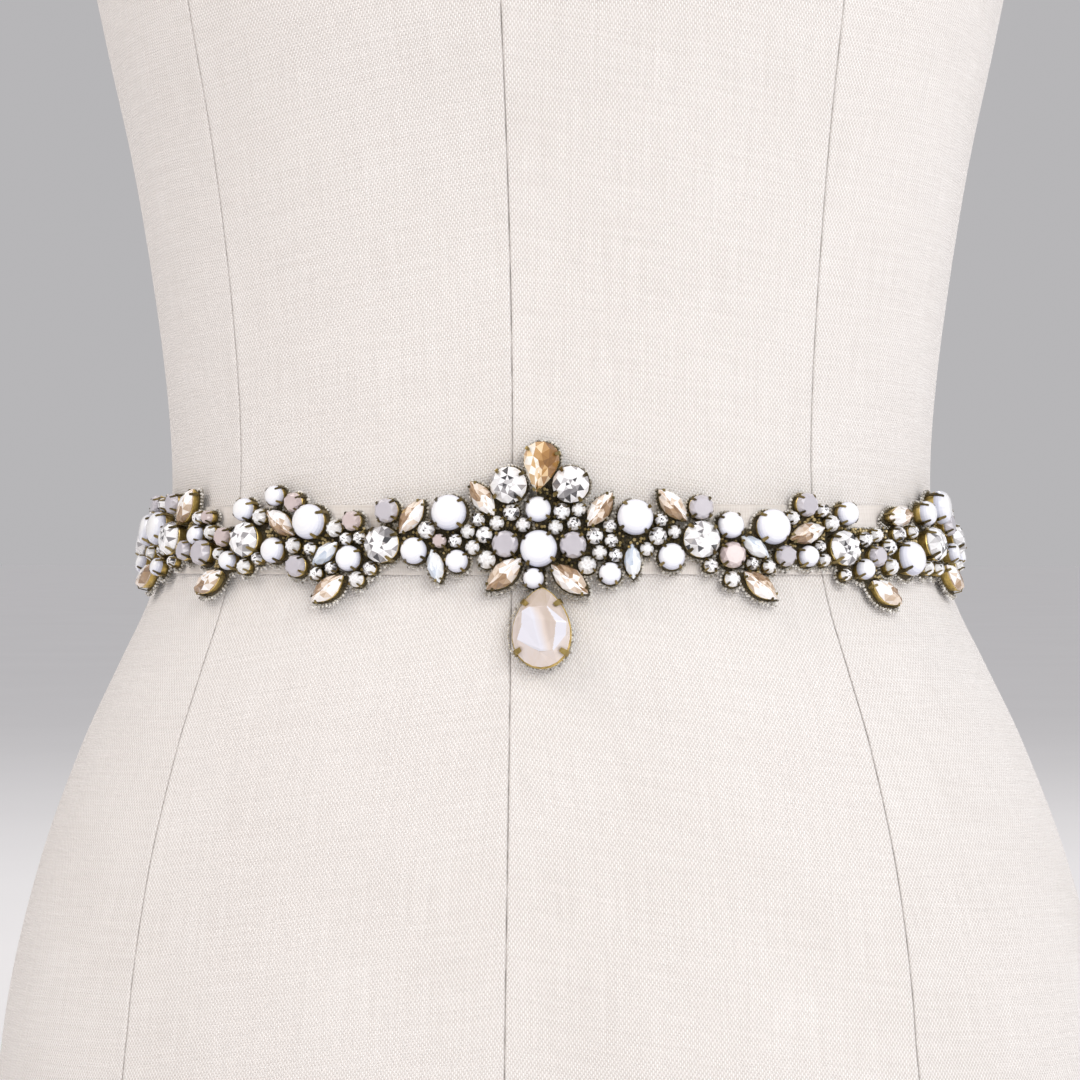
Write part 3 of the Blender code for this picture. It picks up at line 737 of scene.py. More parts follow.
# Glass and beads: material, roughness, clear coat, scale of the clouds in it, the tone's share beside the
# clouds, and the colours of rising tones
STONE_LOOKS = {
    # White glass: its low, bluish tones paint the shade on the domes' lower side and rim
    "white": ("white_glass", 0.16, 0.6, 260.0, 0.9,
              ((0.1, (0.60, 0.62, 0.74)), (0.45, (0.80, 0.82, 0.91)), (0.9, (0.945, 0.95, 0.955)))),
    "clear": ("clear_crystal", 0.05, 1.0, 700.0, 0.85,
              ((0.05, (0.02, 0.02, 0.024)), (0.35, (0.26, 0.25, 0.26)), (0.6, (0.62, 0.61, 0.62)),
               (0.9, (0.97, 0.97, 0.98)))),
    "champagne": ("champagne_crystal", 0.06, 1.0, 500.0, 0.85,
                  ((0.08, (0.13, 0.065, 0.03)), (0.34, (0.44, 0.29, 0.17)), (0.58, (0.80, 0.67, 0.55)),
                   (0.80, (1.0, 0.98, 0.97)))),
    "gold_pear": ("gold_crystal", 0.05, 1.0, 400.0, 0.85,
                  ((0.10, (0.13, 0.05, 0.012)), (0.36, (0.46, 0.24, 0.075)), (0.62, (0.84, 0.60, 0.32)),
                   (0.90, (1.0, 0.96, 0.88)))),
    "grey": ("grey_opal", 0.22, 0.5, 320.0, 0.6,
             ((0.2, (0.46, 0.435, 0.475)), (0.55, (0.56, 0.535, 0.575)), (0.9, (0.80, 0.79, 0.82)))),
    "opal": ("milky_opal", 0.15, 0.8, 650.0, 0.65,
             ((0.15, (0.55, 0.54, 0.54)), (0.5, (0.80, 0.79, 0.78)), (0.9, (0.95, 0.97, 0.99)))),
    "rose": ("rose_opal", 0.2, 0.6, 350.0, 0.6,
             ((0.2, (0.50, 0.40, 0.39)), (0.55, (0.63, 0.53, 0.52)), (0.9, (0.84, 0.76, 0.74)))),
    "blue": ("blue_opal", 0.08, 1.0, 420.0, 0.75,
             ((0.1, (0.28, 0.31, 0.38)), (0.4, (0.56, 0.64, 0.76)), (0.7, (0.84, 0.88, 0.92)),
              (0.95, (0.97, 0.97, 0.96)))),
    # Gap beads: dark tones paint the shade between the stones, the gold ones paint glints
    "gap_bead": ("gap_bead_metal", 0.25, 0.4, 900.0, 0.9,
                 ((0.0, (0.012, 0.011, 0.008)), (0.42, (0.12, 0.095, 0.045)), (0.66, (0.46, 0.355, 0.15)),
                  (0.95, (0.84, 0.68, 0.35)))),
    "bead": ("bead_crystal", 0.12, 1.0, 900.0, 0.8,
             ((0.1, (0.15, 0.135, 0.11)), (0.45, (0.43, 0.405, 0.36)), (0.8, (0.82, 0.805, 0.77)))),
}


def stone_material(name, roughness, coat, cloud_scale, tone_share, stops):
    """Glass or opal: each facet's tone, mostly painted reflection and shade, with soft clouds in it, under a
    clear gloss.
    """
    look = Look(name, stops[-1][1], roughness, Coat_Weight=coat, Coat_Roughness=0.03)
    cloud = look.noise(look.object_place(), cloud_scale, 3.0)
    mixed = look.total(0.0, (look.attribute("tone"), tone_share), (cloud, 1.0 - tone_share))
    look.paint(look.ramp(mixed, stops))
    return look.material


# The drop's tones carry painted reflections and painted shade
def drop_material():
    look = Look("ivory_glass", (0.74, 0.62, 0.52), 0.10, Coat_Weight=1.0, Coat_Roughness=0.02)
    streak = look.noise(look.scaled(look.object_place(), 1.0, 1.0, 0.12), 420.0, 2.0)
    mixed = look.total(0.0, (look.attribute("tone"), 0.8), (streak, 0.25))
    look.paint(look.ramp(mixed, ((0.34, (0.53, 0.43, 0.345)), (0.46, (0.60, 0.505, 0.45)),
                                 (0.62, (0.73, 0.635, 0.58)), (0.92, (0.745, 0.74, 0.81)))))
    return look.material


# Form cover: its seams, each as its angle at the hem, the waist and the bust. A seam's shape has a way round
# the form and a way out of it for each point across the seam
SEAMS = ((0.0, 0.0, 0.0), (40.6, 44.4, 41.5), (90.0, 90.0, 90.0), (139.0, 137.0, 140.0),
         (180.0, 180.0, 180.0), (221.0, 223.0, 220.0), (270.0, 270.0, 270.0), (319.4, 315.6, 318.5))
SEAM_HEIGHTS = (-150.0, 0.0, 175.0)
SEAM_SHAPE = ((-2.4, 0.0), (-0.9, 0.16), (-0.32, 0.05), (0.0, -0.5), (0.32, 0.05), (0.9, 0.16), (2.4, 0.0))
PANEL_COLUMNS = 14
PANEL_LEAN = (0.16, 0.06, -0.06, -0.16, 0.16, 0.06, -0.06, -0.16)
COVER_RING = 3.6
SEAM_STEP = 0.01
CAP_SHARE = 0.965


def seam_angle(seam, height):
    """A seam's angle at a height, in radians."""
    return math.radians(between(min(max(height, SEAM_HEIGHTS[0]), SEAM_HEIGHTS[-1]), SEAM_HEIGHTS, seam))


def cover_ring(height):
    """A ring of the cover's points at a height, each with its seam weight."""
    profile = form_profile(height)
    spots = []
    for index, seam in enumerate(SEAMS):
        start = seam_angle(seam, height)
        after = seam_angle(SEAMS[(index + 1) % len(SEAMS)], height)
        if after <= start:
            after += ROUND
        left, right = [profile_point(profile, start + step, height) for step in (-SEAM_STEP, SEAM_STEP)]
        metric = (right - left).length / (2 * SEAM_STEP)
        for offset, rise in SEAM_SHAPE:
            spots.append((start + offset / metric, rise, 1.0 if offset == 0.0 else 0.0))
        first = start + SEAM_SHAPE[-1][0] / metric
        last = after + SEAM_SHAPE[0][0] / metric
        for column in range(1, PANEL_COLUMNS):
            spots.append((first + (last - first) * column / PANEL_COLUMNS, 0.0, 0.0))
    ring = []
    for angle, rise, weight in spots:
        point = profile_point(profile, angle, height)
        outward = Vector((point.x / profile[0] ** 2, point.y / profile[1] ** 2, 0.0)).normalized()
        ring.append((point + outward * rise, weight))
    return ring


def build_form_cover(material):
    """The linen cover over the torso, panel by panel between its seams, closed at the neck and the base."""
    low = FORM_SECTIONS[0][0]
    high = FORM_SECTIONS[-1][0]
    count = round((high - low) / COVER_RING)
    heights = [low + (high - low) * step / count for step in range(count + 1)]
    rings = [cover_ring(height) for height in heights]
    width = len(rings[0])
    panel = len(SEAM_SHAPE) + PANEL_COLUMNS - 1
    middle_column = len(SEAM_SHAPE) // 2
    points = [to_scene(point) for ring in rings for point, _ in ring]
    weights = [weight for ring in rings for _, weight in ring]
    distances = []
    for ring in rings:
        run = [0.0]
        for (first, _), (second, _) in zip(ring, ring[1:] + ring[:1]):
            run.append(run[-1] + (second - first).length)
        distances.append(run)
    faces = tube_faces(len(rings), width)
    places = []
    for row in range(count):
        for column in range(width):
            owner = (column - middle_column) // panel
            centre = middle_column + owner * panel + panel // 2
            for level, spot in ((row, column), (row, column + 1), (row + 1, column + 1), (row + 1, column)):
                run = distances[level]
                across = run[spot] - run[centre % width] + (run[width] if centre < 0 else 0.0)
                places.append((across * MM, (heights[level] + across * PANEL_LEAN[owner % len(SEAMS)]) * MM))
    for ring, base, turned in ((rings[0], 0, -1), (rings[-1], count * width, 1)):
        start = len(points)
        points += [to_scene(point * Vector((CAP_SHARE, CAP_SHARE, 1.0))) for point, _ in ring]
        weights += [0.0] * width
        for cap in ring_faces(base, start, width) + [tuple(range(start, start + width))]:
            faces.append(cap[::turned])
            places += [(points[corner].x, points[corner].y) for corner in cap[::turned]]
    cover = make_object("form_cover", points, faces, material, SHARP_CLOTH)
    layer = cover.data.uv_layers.new(name="cloth")
    layer.data.foreach_set("uv", [value for place in places for value in place])
    seam = cover.data.attributes.new("seam", "FLOAT", "POINT")
    seam.data.foreach_set("value", weights)
    return finish_piece(cover, ["dress_form"])


def ribbon_ends():
    back_seam = GIRTH / 2 - SASH_MIDDLE
    return back_seam - GIRTH - LAP_LENGTH / 2, back_seam + LAP_LENGTH / 2


def ribbon_out(along, end):
    """How far the ribbon's inner face lies from the form: its last stretch climbs onto its first."""
    climb = min(max((along - (end - LAP_LENGTH) + LAP_RISE) / LAP_RISE, 0.0), 1.0)
    return CLEAR_OF_FORM + climb * climb * (3 - 2 * climb) * (RIBBON_WALL + SEAM_GAP)


CLOTH_WALL = 0.55
RIBBON_STEP = 2.0
RIBBON_CELLS = 12
SELVEDGE = 0.7
SELVEDGE_SHARE = 0.95
SELVEDGE_EXTRA = 0.12
# How the ribbon lies off its seat: at its edges, how much more in its middle, and at the least
EDGE_LIFT = 0.12
MIDDLE_LIFT = 0.12
LEAST_LIFT = 0.02
# A wave has its radians a millimetre, its phase and its height. The ribbon's line strays in two waves, and
# its edges ripple in waves that are drawn between the least and the most of each
STRAY_WAVES = ((0.021, 1.0, 0.14), (0.063, 0.0, 0.08))
RIPPLE_COUNT = 7
RIPPLE_SPANS = ((0.035, 0.16), (0.0, 6.28), (0.02, 0.05))


def swell(waves, along):
    return sum(size * math.sin(along * rate + phase) for rate, phase, size in waves)


def build_ribbon(material):
    """The ribbon as a thin shell with firm selvedges and gently rippled edges."""
    start, end = ribbon_ends()
    stations = math.ceil((end - start) / RIBBON_STEP)
    draw = random.Random(5)
    waves = [[draw.uniform(*span) for span in RIPPLE_SPANS] for _ in range(RIPPLE_COUNT)]
    half = RIBBON_WIDTH / 2
    rows = [(half - SELVEDGE) * (2 * cell / RIBBON_CELLS - 1) for cell in range(RIBBON_CELLS + 1)]
    rows = [-half, *rows, half]
    outer = []
    inner = []
    for station in range(stations + 1):
        along = start + (end - start) * station / stations
        base = ribbon_out(along, end)
        ripple = swell(waves, along)
        stray = swell(STRAY_WAVES, along)
        for up in rows:
            edge = abs(up) / half
            lift = EDGE_LIFT + ripple * edge ** 2 + MIDDLE_LIFT * (1 - edge ** 2)
            seat = base + max(lift, LEAST_LIFT)
            thick = CLOTH_WALL + (SELVEDGE_EXTRA if edge > SELVEDGE_SHARE else 0.0)
            inner.append(on_form(along, up + stray, seat))
            outer.append(on_form(along, up + stray, seat + thick))
    width = len(rows)
    total = len(outer)
    faces = []

    def close(first, second):
        """The rim's quad between the two faces of the cloth."""
        faces.append((first, second, total + second, total + first))

    for low in range(0, stations * width, width):
        for here in range(low, low + width - 1):
            corners = (here, here + width, here + width + 1, here + 1)
            faces.append(corners)
            faces.append(tuple(total + corner for corner in corners[::-1]))
        close(low + width, low)
        close(low + width - 1, low + 2 * width - 1)
    last = stations * width
    for row in range(width - 1):
        close(row, row + 1)
        close(last + row + 1, last + row)
    points = [to_scene(point) for point in outer + inner]
    cloth = make_object("ribbon_cloth", points, faces, material, SHARP_CLOTH)
    layer = cloth.data.uv_layers.new(name="cloth")
    for loop in cloth.data.loops:
        station, row = divmod(loop.vertex_index % total, width)
        layer.data[loop.index].uv = ((end - start) * station / stations * MM, rows[row] * MM)
    finish_piece(cloth, ["ribbon"])
    return cloth, (end - start) * MM


STONE_TILT = 3.5


def stand(stone, draw):
    """Maps a stone's own (x, y, height) onto the sash, with the small lean of a hand-set stone."""
    point, along, up, outward = surface_frame(stone.middle.x, stone.middle.y)
    lean_x = math.tan(math.radians(draw.uniform(-STONE_TILT, STONE_TILT)))
    lean_y = math.tan(math.radians(draw.uniform(-STONE_TILT, STONE_TILT)))

    def place(x, y, height):
        lift = APPLIQUE_FACE + height + (x * lean_x + y * lean_y) * (height / stone.height)
        return point + along * x + up * y + outward * lift

    return place


# Tones of a stone's facets, as how often each comes up: the bright and dark facets are painted reflections
TONES = {
    "clear": (1.0, 1.0, 1.0, 0.95, 1.0, 0.9, 1.0, 1.0, 0.8, 0.6, 0.4, 0.25, 0.02),
    "champagne": (1.2, 1.1, 1.0, 0.9, 0.75, 0.5),
    "gold_pear": (1.25, 1.0, 0.8, 0.6, 0.45),
    "blue": (1.1, 1.0, 0.9, 0.8),
    "opal": (1.0, 0.8, 0.65, 0.6, 0.5, 0.35),
    "grey": (0.5, 0.45, 0.55),
    "rose": (0.5, 0.45, 0.55),
}
# Shares of those tones in the four quarters of a stone's face, a painted light and shade, and the share of
# its sides, a painted shade
QUARTER_TONES = {
    "champagne": (1.12, 0.56, 0.24, 0.82),
    "gold_pear": (1.25, 0.60, 0.28, 0.85),
    "blue": (1.0, 0.72, 0.45, 0.85),
}
DIM_SIDES = 0.45
# A cut stone: levels of its foot, both edges of its girdle, its kites and its table, as shares of its
# height, then how its foot and the core of its table are scaled
CUT_LEVELS = (0.30, 0.50, 0.55, 0.82, 0.90)
CUT_FOOT = 0.80
CUT_CORE = 0.52
# Each kind's main facets, its table as a share of its width, and how uneven the foil looks through its table
CUTS = {"grey": (8, 0.70, 0.0), "rose": (8, 0.70, 0.0), "opal": (8, 0.50, 0.02)}
FINE_CUT = (8, 0.52, 0.03)
SMALL_CUT = (6, 0.52, 0.03)
SMALL_WIDTH = 5.6
# A cabochon's rings, as scale and share of its height
DOME = ((0.93, 0.36), (1.0, 0.46), (1.0, 0.53), (0.975, 0.64), (0.90, 0.77), (0.77, 0.88), (0.58, 0.955),
        (0.32, 0.99))
# Tones of the dome's rings from its girdle up: darker and bluer towards the girdle, partly the glass's
# translucency and partly painted shade
DOME_TONES = (0.0, 0.05, 0.2, 0.45, 0.7, 0.9, 1.0)
DOME_SIDES = 28
# How much darker the dome's lower side is painted: a painted shade
DOME_PAINTED_SHADE = 0.42


def add_dome(heap, stone, place):
    """A smooth cabochon, a little darker on its lower side and round its rim: painted shade, the rim partly
    the glass's translucency.
    """
    points = stacked(stone.ring(DOME_SIDES), DOME, place, stone.height)
    top = len(points)
    points.append(place(0.0, 0.0, stone.height))
    faces = [tuple(reversed(range(DOME_SIDES)))] + tube_faces(len(DOME), DOME_SIDES)
    last = top - DOME_SIDES
    faces += [(last + side, last + (side + 1) % DOME_SIDES, top) for side in range(DOME_SIDES)]
    shade = [DOME_PAINTED_SHADE * max(-2 * corner.y / stone.width, 0.0) for corner in stone.ring(DOME_SIDES)]
    tones = [0.0]
    for (scale, _), tone in zip(DOME, DOME_TONES):
        tones += [max(tone - scale * low, 0.0) for low in shade]
    heap.add(points, faces, tones + [1.0 - 0.2 * low for low in shade])


def add_brilliant(heap, stone, place, draw, mains, table_scale, sparkle):
    """A cut stone: a girdle, upper girdle facets, kites, star facets and the table.

    Sparkle is the height of the small planes that the foil under a clear stone shows in its table.
    """
    sides = 2 * mains
    outline = stone.ring(sides)
    kite_scale = (1 + table_scale) / 2 + 0.05
    foot, girdle, upper, kite, top = CUT_LEVELS
    rings = [
        [(corner * CUT_FOOT, foot) for corner in outline],
        [(corner, girdle) for corner in outline],
        [(corner, upper) for corner in outline],
        [(corner * kite_scale, kite) for corner in stone.ring(mains, 0.5)],
        [(corner * table_scale, top) for corner in stone.ring(mains)],
        [(corner * table_scale * CUT_CORE, top + draw.uniform(-1, 1) * sparkle)
         for corner in stone.ring(mains, 0.5)],
        [(Vector((0.0, 0.0)), top + sparkle * draw.uniform(0, 1))],
    ]
    starts = []
    points = []
    for ring in rings:
        starts.append(len(points))
        points += [place(corner.x, corner.y, level * stone.height) for corner, level in ring]
    base, low, high, mid, table, core, hub = starts
    walls = zip(ring_faces(base, low, sides), ring_faces(low, high, sides))
    faces = [face for pair in walls for face in pair]
    wall = len(faces)
    for side in range(mains):
        after = (side + 1) % mains
        even = high + 2 * side
        odd = even + 1
        crown = [(even, odd, mid + side), (odd, high + 2 * after, mid + side),
                 (even, mid + side, table + side), (even, table + side, mid + (side - 1) % mains),
                 (table + side, mid + side, table + after), (table + side, table + after, core + side),
                 (table + after, core + after, core + side), (core + side, core + after, hub)]
        faces += crown
    # Each facet gets a painted reflection tone; the quarters and sides are then painted lighter and darker
    tones = TONES[stone.kind]
    picked = [draw.choice(tones) for _ in faces]
    if stone.kind in QUARTER_TONES:
        first = draw.randrange(4)
        for index in range(len(faces)):
            quarter = (first + (index - wall) // len(crown) * 4 // mains) % 4
            picked[index] *= QUARTER_TONES[stone.kind][quarter] if index >= wall else DIM_SIDES
    if sparkle == 0.0:
        for start in range(wall, len(faces), len(crown)):
            picked[start + 5:start + len(crown)] = [tones[0]] * 3
    heap.add(points, faces, picked)


# How high a stone's surface lies, as a share of its height, at a share of the way out from its middle
DOME_SURFACE = ((0.0, 0.32, 0.58, 0.77, 0.90, 0.975, 1.0), (1.0, 0.99, 0.955, 0.88, 0.77, 0.64, 0.53))
CUT_SURFACE = ((0.0, 0.55, 0.78, 1.0), (0.90, 0.90, 0.86, 0.55))
# Turns of a stone's claws round it. On a round stone the first one's turn is drawn
FIRST_CLAW = (0.55, 1.0)
CLAW_TURNS = {
    "navette": (math.pi / 5, math.pi * 4 / 5, math.pi * 6 / 5, -math.pi / 5),
    "pear": (0.7, math.pi - 0.7, math.pi + 1.1, -1.1),
}
# A claw's half width and its reach inwards: a length, and what each millimetre of the stone's width adds
CLAW_HALF = (0.15, 0.036)
CLAW_REACH = (0.26, 0.075)
DOME_REACH = 0.8
# A claw's rows: way out and level up the cup's side, then share of its reach and of its width over the edge
CLAW_SIDE = ((0.06, 0.10), (0.14, 0.36), (0.16, 0.58))
CLAW_OVER = ((0.1, 1.0), (0.55, 0.92), (1.0, 0.6))
CLAW_WALL = 0.3
CLAW_SUNK = 0.05
CUP_SIDES = 20
CUP_LEVELS = ((0.80, 0.0), (0.92, 0.28), (0.99, 0.42), (0.95, 0.45), (0.88, 0.36))


def add_setting(heap, stone, place, draw):
    """A gold cup under the stone and the claws that hold its edge."""
    cup = stacked(stone.ring(CUP_SIDES), CUP_LEVELS, place, stone.height)
    heap.add(cup, tube_faces(len(CUP_LEVELS), CUP_SIDES))
    if stone.shape == "round":
        start = draw.uniform(*FIRST_CLAW)
        turns = [start + math.pi / 2 * claw for claw in range(4)]
    else:
        turns = CLAW_TURNS[stone.shape]
    for turn in turns:
        add_claw(heap, stone, place, turn)


def add_claw(heap, stone, place, turn):
    """A claw up the cup's side and over the stone's edge, more or less dark with patina and painted shade.
    """
    edge = stone.rim(turn)
    tangent = (stone.rim(turn + 0.02) - stone.rim(turn - 0.02)).normalized()
    outward = Vector((tangent.y, -tangent.x))
    half = CLAW_HALF[0] + CLAW_HALF[1] * stone.width
    reach = CLAW_REACH[0] + CLAW_REACH[1] * stone.width
    table = CUT_SURFACE
    if stone.kind == "white":
        reach *= DOME_REACH
        table = DOME_SURFACE
    rows = [(edge + outward * out, outward * CLAW_WALL, level * stone.height, 0.0, 1.0)
            for out, level in CLAW_SIDE]
    for inward, share in CLAW_OVER:
        spot = edge - outward * (reach * inward)
        level = between(spot.length / edge.length, *table) * stone.height
        rows.append((spot, outward * 0.0, level + CLAW_SUNK, CLAW_WALL, share))
    # The claw's dark tone, varied claw by claw, is partly patina and partly painted shade
    add_strip(heap, place, rows, tangent * half, 0.17 + 0.13 * math.sin(7.3 * stone.middle.x + 3.1 * turn))


def add_strip(heap, place, rows, side, tone):
    """A flat bar. A row has its place, its shift out and its height, its wall and the share of its width."""
    points = []
    for spot, shift, height, wall, share in rows:
        for across, outer in ((-1, 0), (1, 0), (1, 1), (-1, 1)):
            corner = spot + side * (across * share) + shift * outer
            points.append(place(corner.x, corner.y, height + wall * outer))
    last = len(points) - 4
    faces = [(3, 2, 1, 0), *tube_faces(len(rows), 4), (last, last + 1, last + 2, last + 3)]
    heap.add(points, faces, [tone] * len(faces))


def drop_middle():
    return Vector((DROP_ALONG, DROP_TIP - DROP_LENGTH / 2))


def drop_ring(sides, margin=0.0):
    points = [pear_point(DROP_LENGTH, DROP_WIDTH, -ROUND * side / sides, 1, FULL_PEAR)
              for side in range(sides)]
    return grown(points, margin) if margin else points


def spine():
    places = [SPINE_HALF_LENGTH * step / SPINE_STEPS for step in range(-SPINE_STEPS, SPINE_STEPS + 1)]
    lower = [Vector((place, -SPINE_HALF_HEIGHT)) for place in places]
    return lower + [Vector((place, SPINE_HALF_HEIGHT)) for place in reversed(places)]


def stem(place):
    """A strip of backing that ties a stone, or the drop, to the strip along the ribbon."""
    left, right = place.x - STEM_HALF_WIDTH, place.x + STEM_HALF_WIDTH
    low, high = min(place.y, 0.0), max(place.y, 0.0)
    return [Vector((left, low)), Vector((right, low)), Vector((right, high)), Vector((left, high))]


def applique_border(stones):
    drop = [point + drop_middle() for point in drop_ring(DROP_BACKING_SIDES, DROP_BACKING_MARGIN)]
    shapes = [spine(), drop, stem(drop_middle())]
    for stone in stones:
        shapes.append([point + stone.middle for point in grown(stone.ring(BACKING_SIDES), BACKING_MARGIN)])
        if abs(stone.middle.y) > SPINE_HALF_HEIGHT:
            shapes.append(stem(stone.middle))
    return border_of(shapes, BORDER_STEP)


# Cells that bend the backing with the form, and how far their corners stay from its border
BACKING_CELL = 5.0
BACKING_COLUMNS = range(-38, 39)
BACKING_ROWS = range(-8, 7)
BACKING_CLEAR = 1.2


def build_backing(border, material):
    """The backing: two faces that follow the form, and the cut edge between them."""
    grid = [Vector((column, row)) * BACKING_CELL for column in BACKING_COLUMNS for row in BACKING_ROWS]
    extra = [point for point in grid if inside(border, point)
             and min((point - corner).length for corner in border) > BACKING_CLEAR]
    corners, triangles = filled(border, extra)
    points = [on_form(*corner, out) for out in (APPLIQUE_FACE, APPLIQUE_UNDER) for corner in corners]
    total = len(corners)
    faces = [tuple(face) for face in triangles]
    faces += [tuple(total + corner for corner in reversed(face)) for face in triangles]
    for index in range(len(border)):
        after = (index + 1) % len(border)
        faces.append((index, total + index, total + after, after))
    heap = Heap()
    heap.add(points, faces)
    return heap.build("applique_backing", material, "applique_stones", ["applique"])


# A bead: its corners round, the level and turn of its two rings, and their scale
BEAD_POINTS = 6
BEAD_RINGS = ((-0.45, 0.0), (0.45, 0.5))
BEAD_SCALE = 0.9


def add_bead(heap, place, radius, tone):
    """A tiny cut bead, given as the place of its middle and its three directions."""
    middle, along, up, outward = place
    points = [middle - outward * radius]
    for level, turn_shift in BEAD_RINGS:
        for side in range(BEAD_POINTS):
            turn = ROUND * (side + turn_shift) / BEAD_POINTS
            across = along * math.cos(turn) + up * math.sin(turn)
            points.append(middle + across * radius * BEAD_SCALE + outward * radius * level)
    points.append(middle + outward * radius)
    faces = []
    for side in range(BEAD_POINTS):
        lower, lower_after = 1 + side, 1 + (side + 1) % BEAD_POINTS
        upper, upper_after = lower + BEAD_POINTS, lower_after + BEAD_POINTS
        faces += [(0, lower_after, lower), (lower, lower_after, upper), (lower_after, upper_after, upper),
                  (upper, upper_after, len(points) - 1)]
    heap.add(points, faces, [tone] * len(faces))


def walk(loop, step):
    """Places an even step apart round a closed outline, with the way out from it at each."""
    places = []
    wait = 0.0
    for first, second in zip(loop, loop[1:] + loop[:1]):
        edge = second - first
        while wait < edge.length:
            places.append((first + edge * (wait / edge.length), Vector((edge.y, -edge.x)).normalized()))
            wait += step
        wait -= edge.length
    return places


# Rows of edging beads: step, radius, height off the backing, way out, what is added to it where the border
# faces down, and how far up the border may face at a bead
EDGE_ROWS = (
    (0.98, 0.48, -0.5, 0.1, 0.15, 2.0),
    (1.08, 0.46, 0.0, 0.1, 0.75, 2.0),
    (1.15, 0.42, -0.6, 0.1, 1.1, -0.5),
)
DROP_EDGE_ROW = (1.0, 0.42, 0.7, 0.0, 0.0, 2.0)
DROP_EDGE_SIDES = 48
DROP_EDGE_SHIFT = (-0.75, -0.1)
EDGE_UNEVEN = 0.08
EDGE_SIZES = (0.82, 1.1)


def build_edge_beads(border, material):
    """The fine edging of cut beads round the backing, wider on its lower side, and round the drop."""
    draw = random.Random(21)
    heap = Heap()
    shift = drop_middle() + Vector(DROP_EDGE_SHIFT)
    ring = [point + shift for point in drop_ring(DROP_EDGE_SIDES, 0.1)]
    for line, row in [(border, row) for row in EDGE_ROWS] + [(ring, DROP_EDGE_ROW)]:
        step, radius, lift, out, lower, highest = row
        for spot, away in walk(line, step):
            if away.y > highest:
                continue
            spot += away * (out + lower * max(-away.y, 0.0))
            point, along, up, outward = surface_frame(spot.x, spot.y)
            height = APPLIQUE_FACE + lift + draw.uniform(-EDGE_UNEVEN, EDGE_UNEVEN)
            size = radius * draw.uniform(*EDGE_SIZES)
            add_bead(heap, (point + outward * height, along, up, outward), size, draw.uniform(0.1, 1.0))
    return heap.build("edge_beads", material, "applique_stones", smooth=False)


# Gap beads, one to a millimetre: how far each strays, and how clear it stays of stones, border and drop
GAP_COLUMNS = range(-190, 191)
GAP_STRAY = 0.3
STONE_CLEAR = 0.45
BORDER_CLEAR = 0.75
DROP_CLEAR = 2.0
GAP_RADII = (0.4, 0.6)
# The tones of beads in the dark middle and beyond it, as powers that draw them down or up: a painted shade,
# deepest among the close-set stones of the middle
MIDDLE_REACH = 26.0
MIDDLE_SHADE_POWER = 1.8
OUTER_SHADE_POWER = 0.5


def build_gap_beads(border, stones, material):
    """Small beads that fill the gaps between the settings, their tones painted: most dark for the shade
    between the stones, a few gold for glints.
    """
    draw = random.Random(8)
    heap = Heap()
    rows = range(int(min(point.y for point in border)), int(max(point.y for point in border)) + 1)
    for column in GAP_COLUMNS:
        for row in rows:
            spot = Vector([value + draw.uniform(-GAP_STRAY, GAP_STRAY) for value in (column, row)])
            near = [stone for stone in stones if abs(stone.middle.x - spot.x) < stone.size]
            clear = min(((stone.middle + place - spot).length - radius for stone in near
                         for place, radius in stone.discs()), default=9.0)
            edge = min(((spot - corner).length for corner in border
                        if abs(corner.x - spot.x) < 1.0), default=1.0)
            in_drop = (spot - drop_middle()).length < DROP_LENGTH / 2 + DROP_CLEAR
            if clear < STONE_CLEAR or edge < BORDER_CLEAR or in_drop or not inside(border, spot):
                continue
            point, along, up, outward = surface_frame(spot.x, spot.y)
            place = (point + outward * (APPLIQUE_FACE + 0.3 + draw.uniform(0, 0.5)), along, up, outward)
            shade_power = MIDDLE_SHADE_POWER if abs(spot.x) < MIDDLE_REACH else OUTER_SHADE_POWER
            add_bead(heap, place, draw.uniform(*GAP_RADII), draw.uniform(0.0, 1.0) ** shade_power)
    return heap.build("gap_beads", material, "applique_stones", smooth=False)


def build_stones(stones, materials, gold):
    """All single stones, joined by kind, and their settings."""
    draw = random.Random(3)
    heaps = {}
    settings = Heap()
    for stone in stones:
        heap = heaps.setdefault(stone.kind, Heap())
        place = stand(stone, draw)
        if stone.kind == "white":
            add_dome(heap, stone, place)
        else:
            cut = CUTS.get(stone.kind, FINE_CUT if stone.width > SMALL_WIDTH else SMALL_CUT)
            add_brilliant(heap, stone, place, draw, *cut)
        add_setting(settings, stone, place, draw)
    for kind, heap in heaps.items():
        heap.build(f"stones_{kind}", materials[kind], "applique_stones", smooth=kind == "white")
    settings.build("stone_settings", gold, "setting_gold")


# The drop's rings from back to girdle: scale of its outline, and share of its thickness
DROP_RINGS = ((0.70, 0.0), (0.93, 0.08), (1.0, 0.22), (1.0, 0.34))
DROP_MAINS = 24
# Corners of the drop's face, from its top on the left side down and round: shares of its half width, of its
# length from the tip, and of its thickness
DROP_FACE = ((-0.40, 0.245, 0.86), (-0.64, 0.30, 0.86), (-0.66, 0.47, 0.86), (-0.80, 0.66, 0.86),
             (0.0, 0.82, 0.88), (0.46, 0.80, 0.86), (0.88, 0.60, 0.86), (0.90, 0.44, 0.86),
             (0.22, 0.235, 0.86))
DROP_RIDGE = ((-0.30, 0.40, 1.0), (0.0, 0.78, 1.0), (0.50, 0.62, 1.0), (0.54, 0.44, 1.0))
# Faces of the table: corners counted through the face and then the ridge
DROP_TABLE = ((0, 9, 12, 8), (9, 10, 11, 12), (0, 1, 9), (1, 2, 9), (2, 3, 10, 9), (3, 4, 10), (4, 5, 10),
              (5, 11, 10), (5, 6, 11), (6, 7, 12, 11), (7, 8, 12))
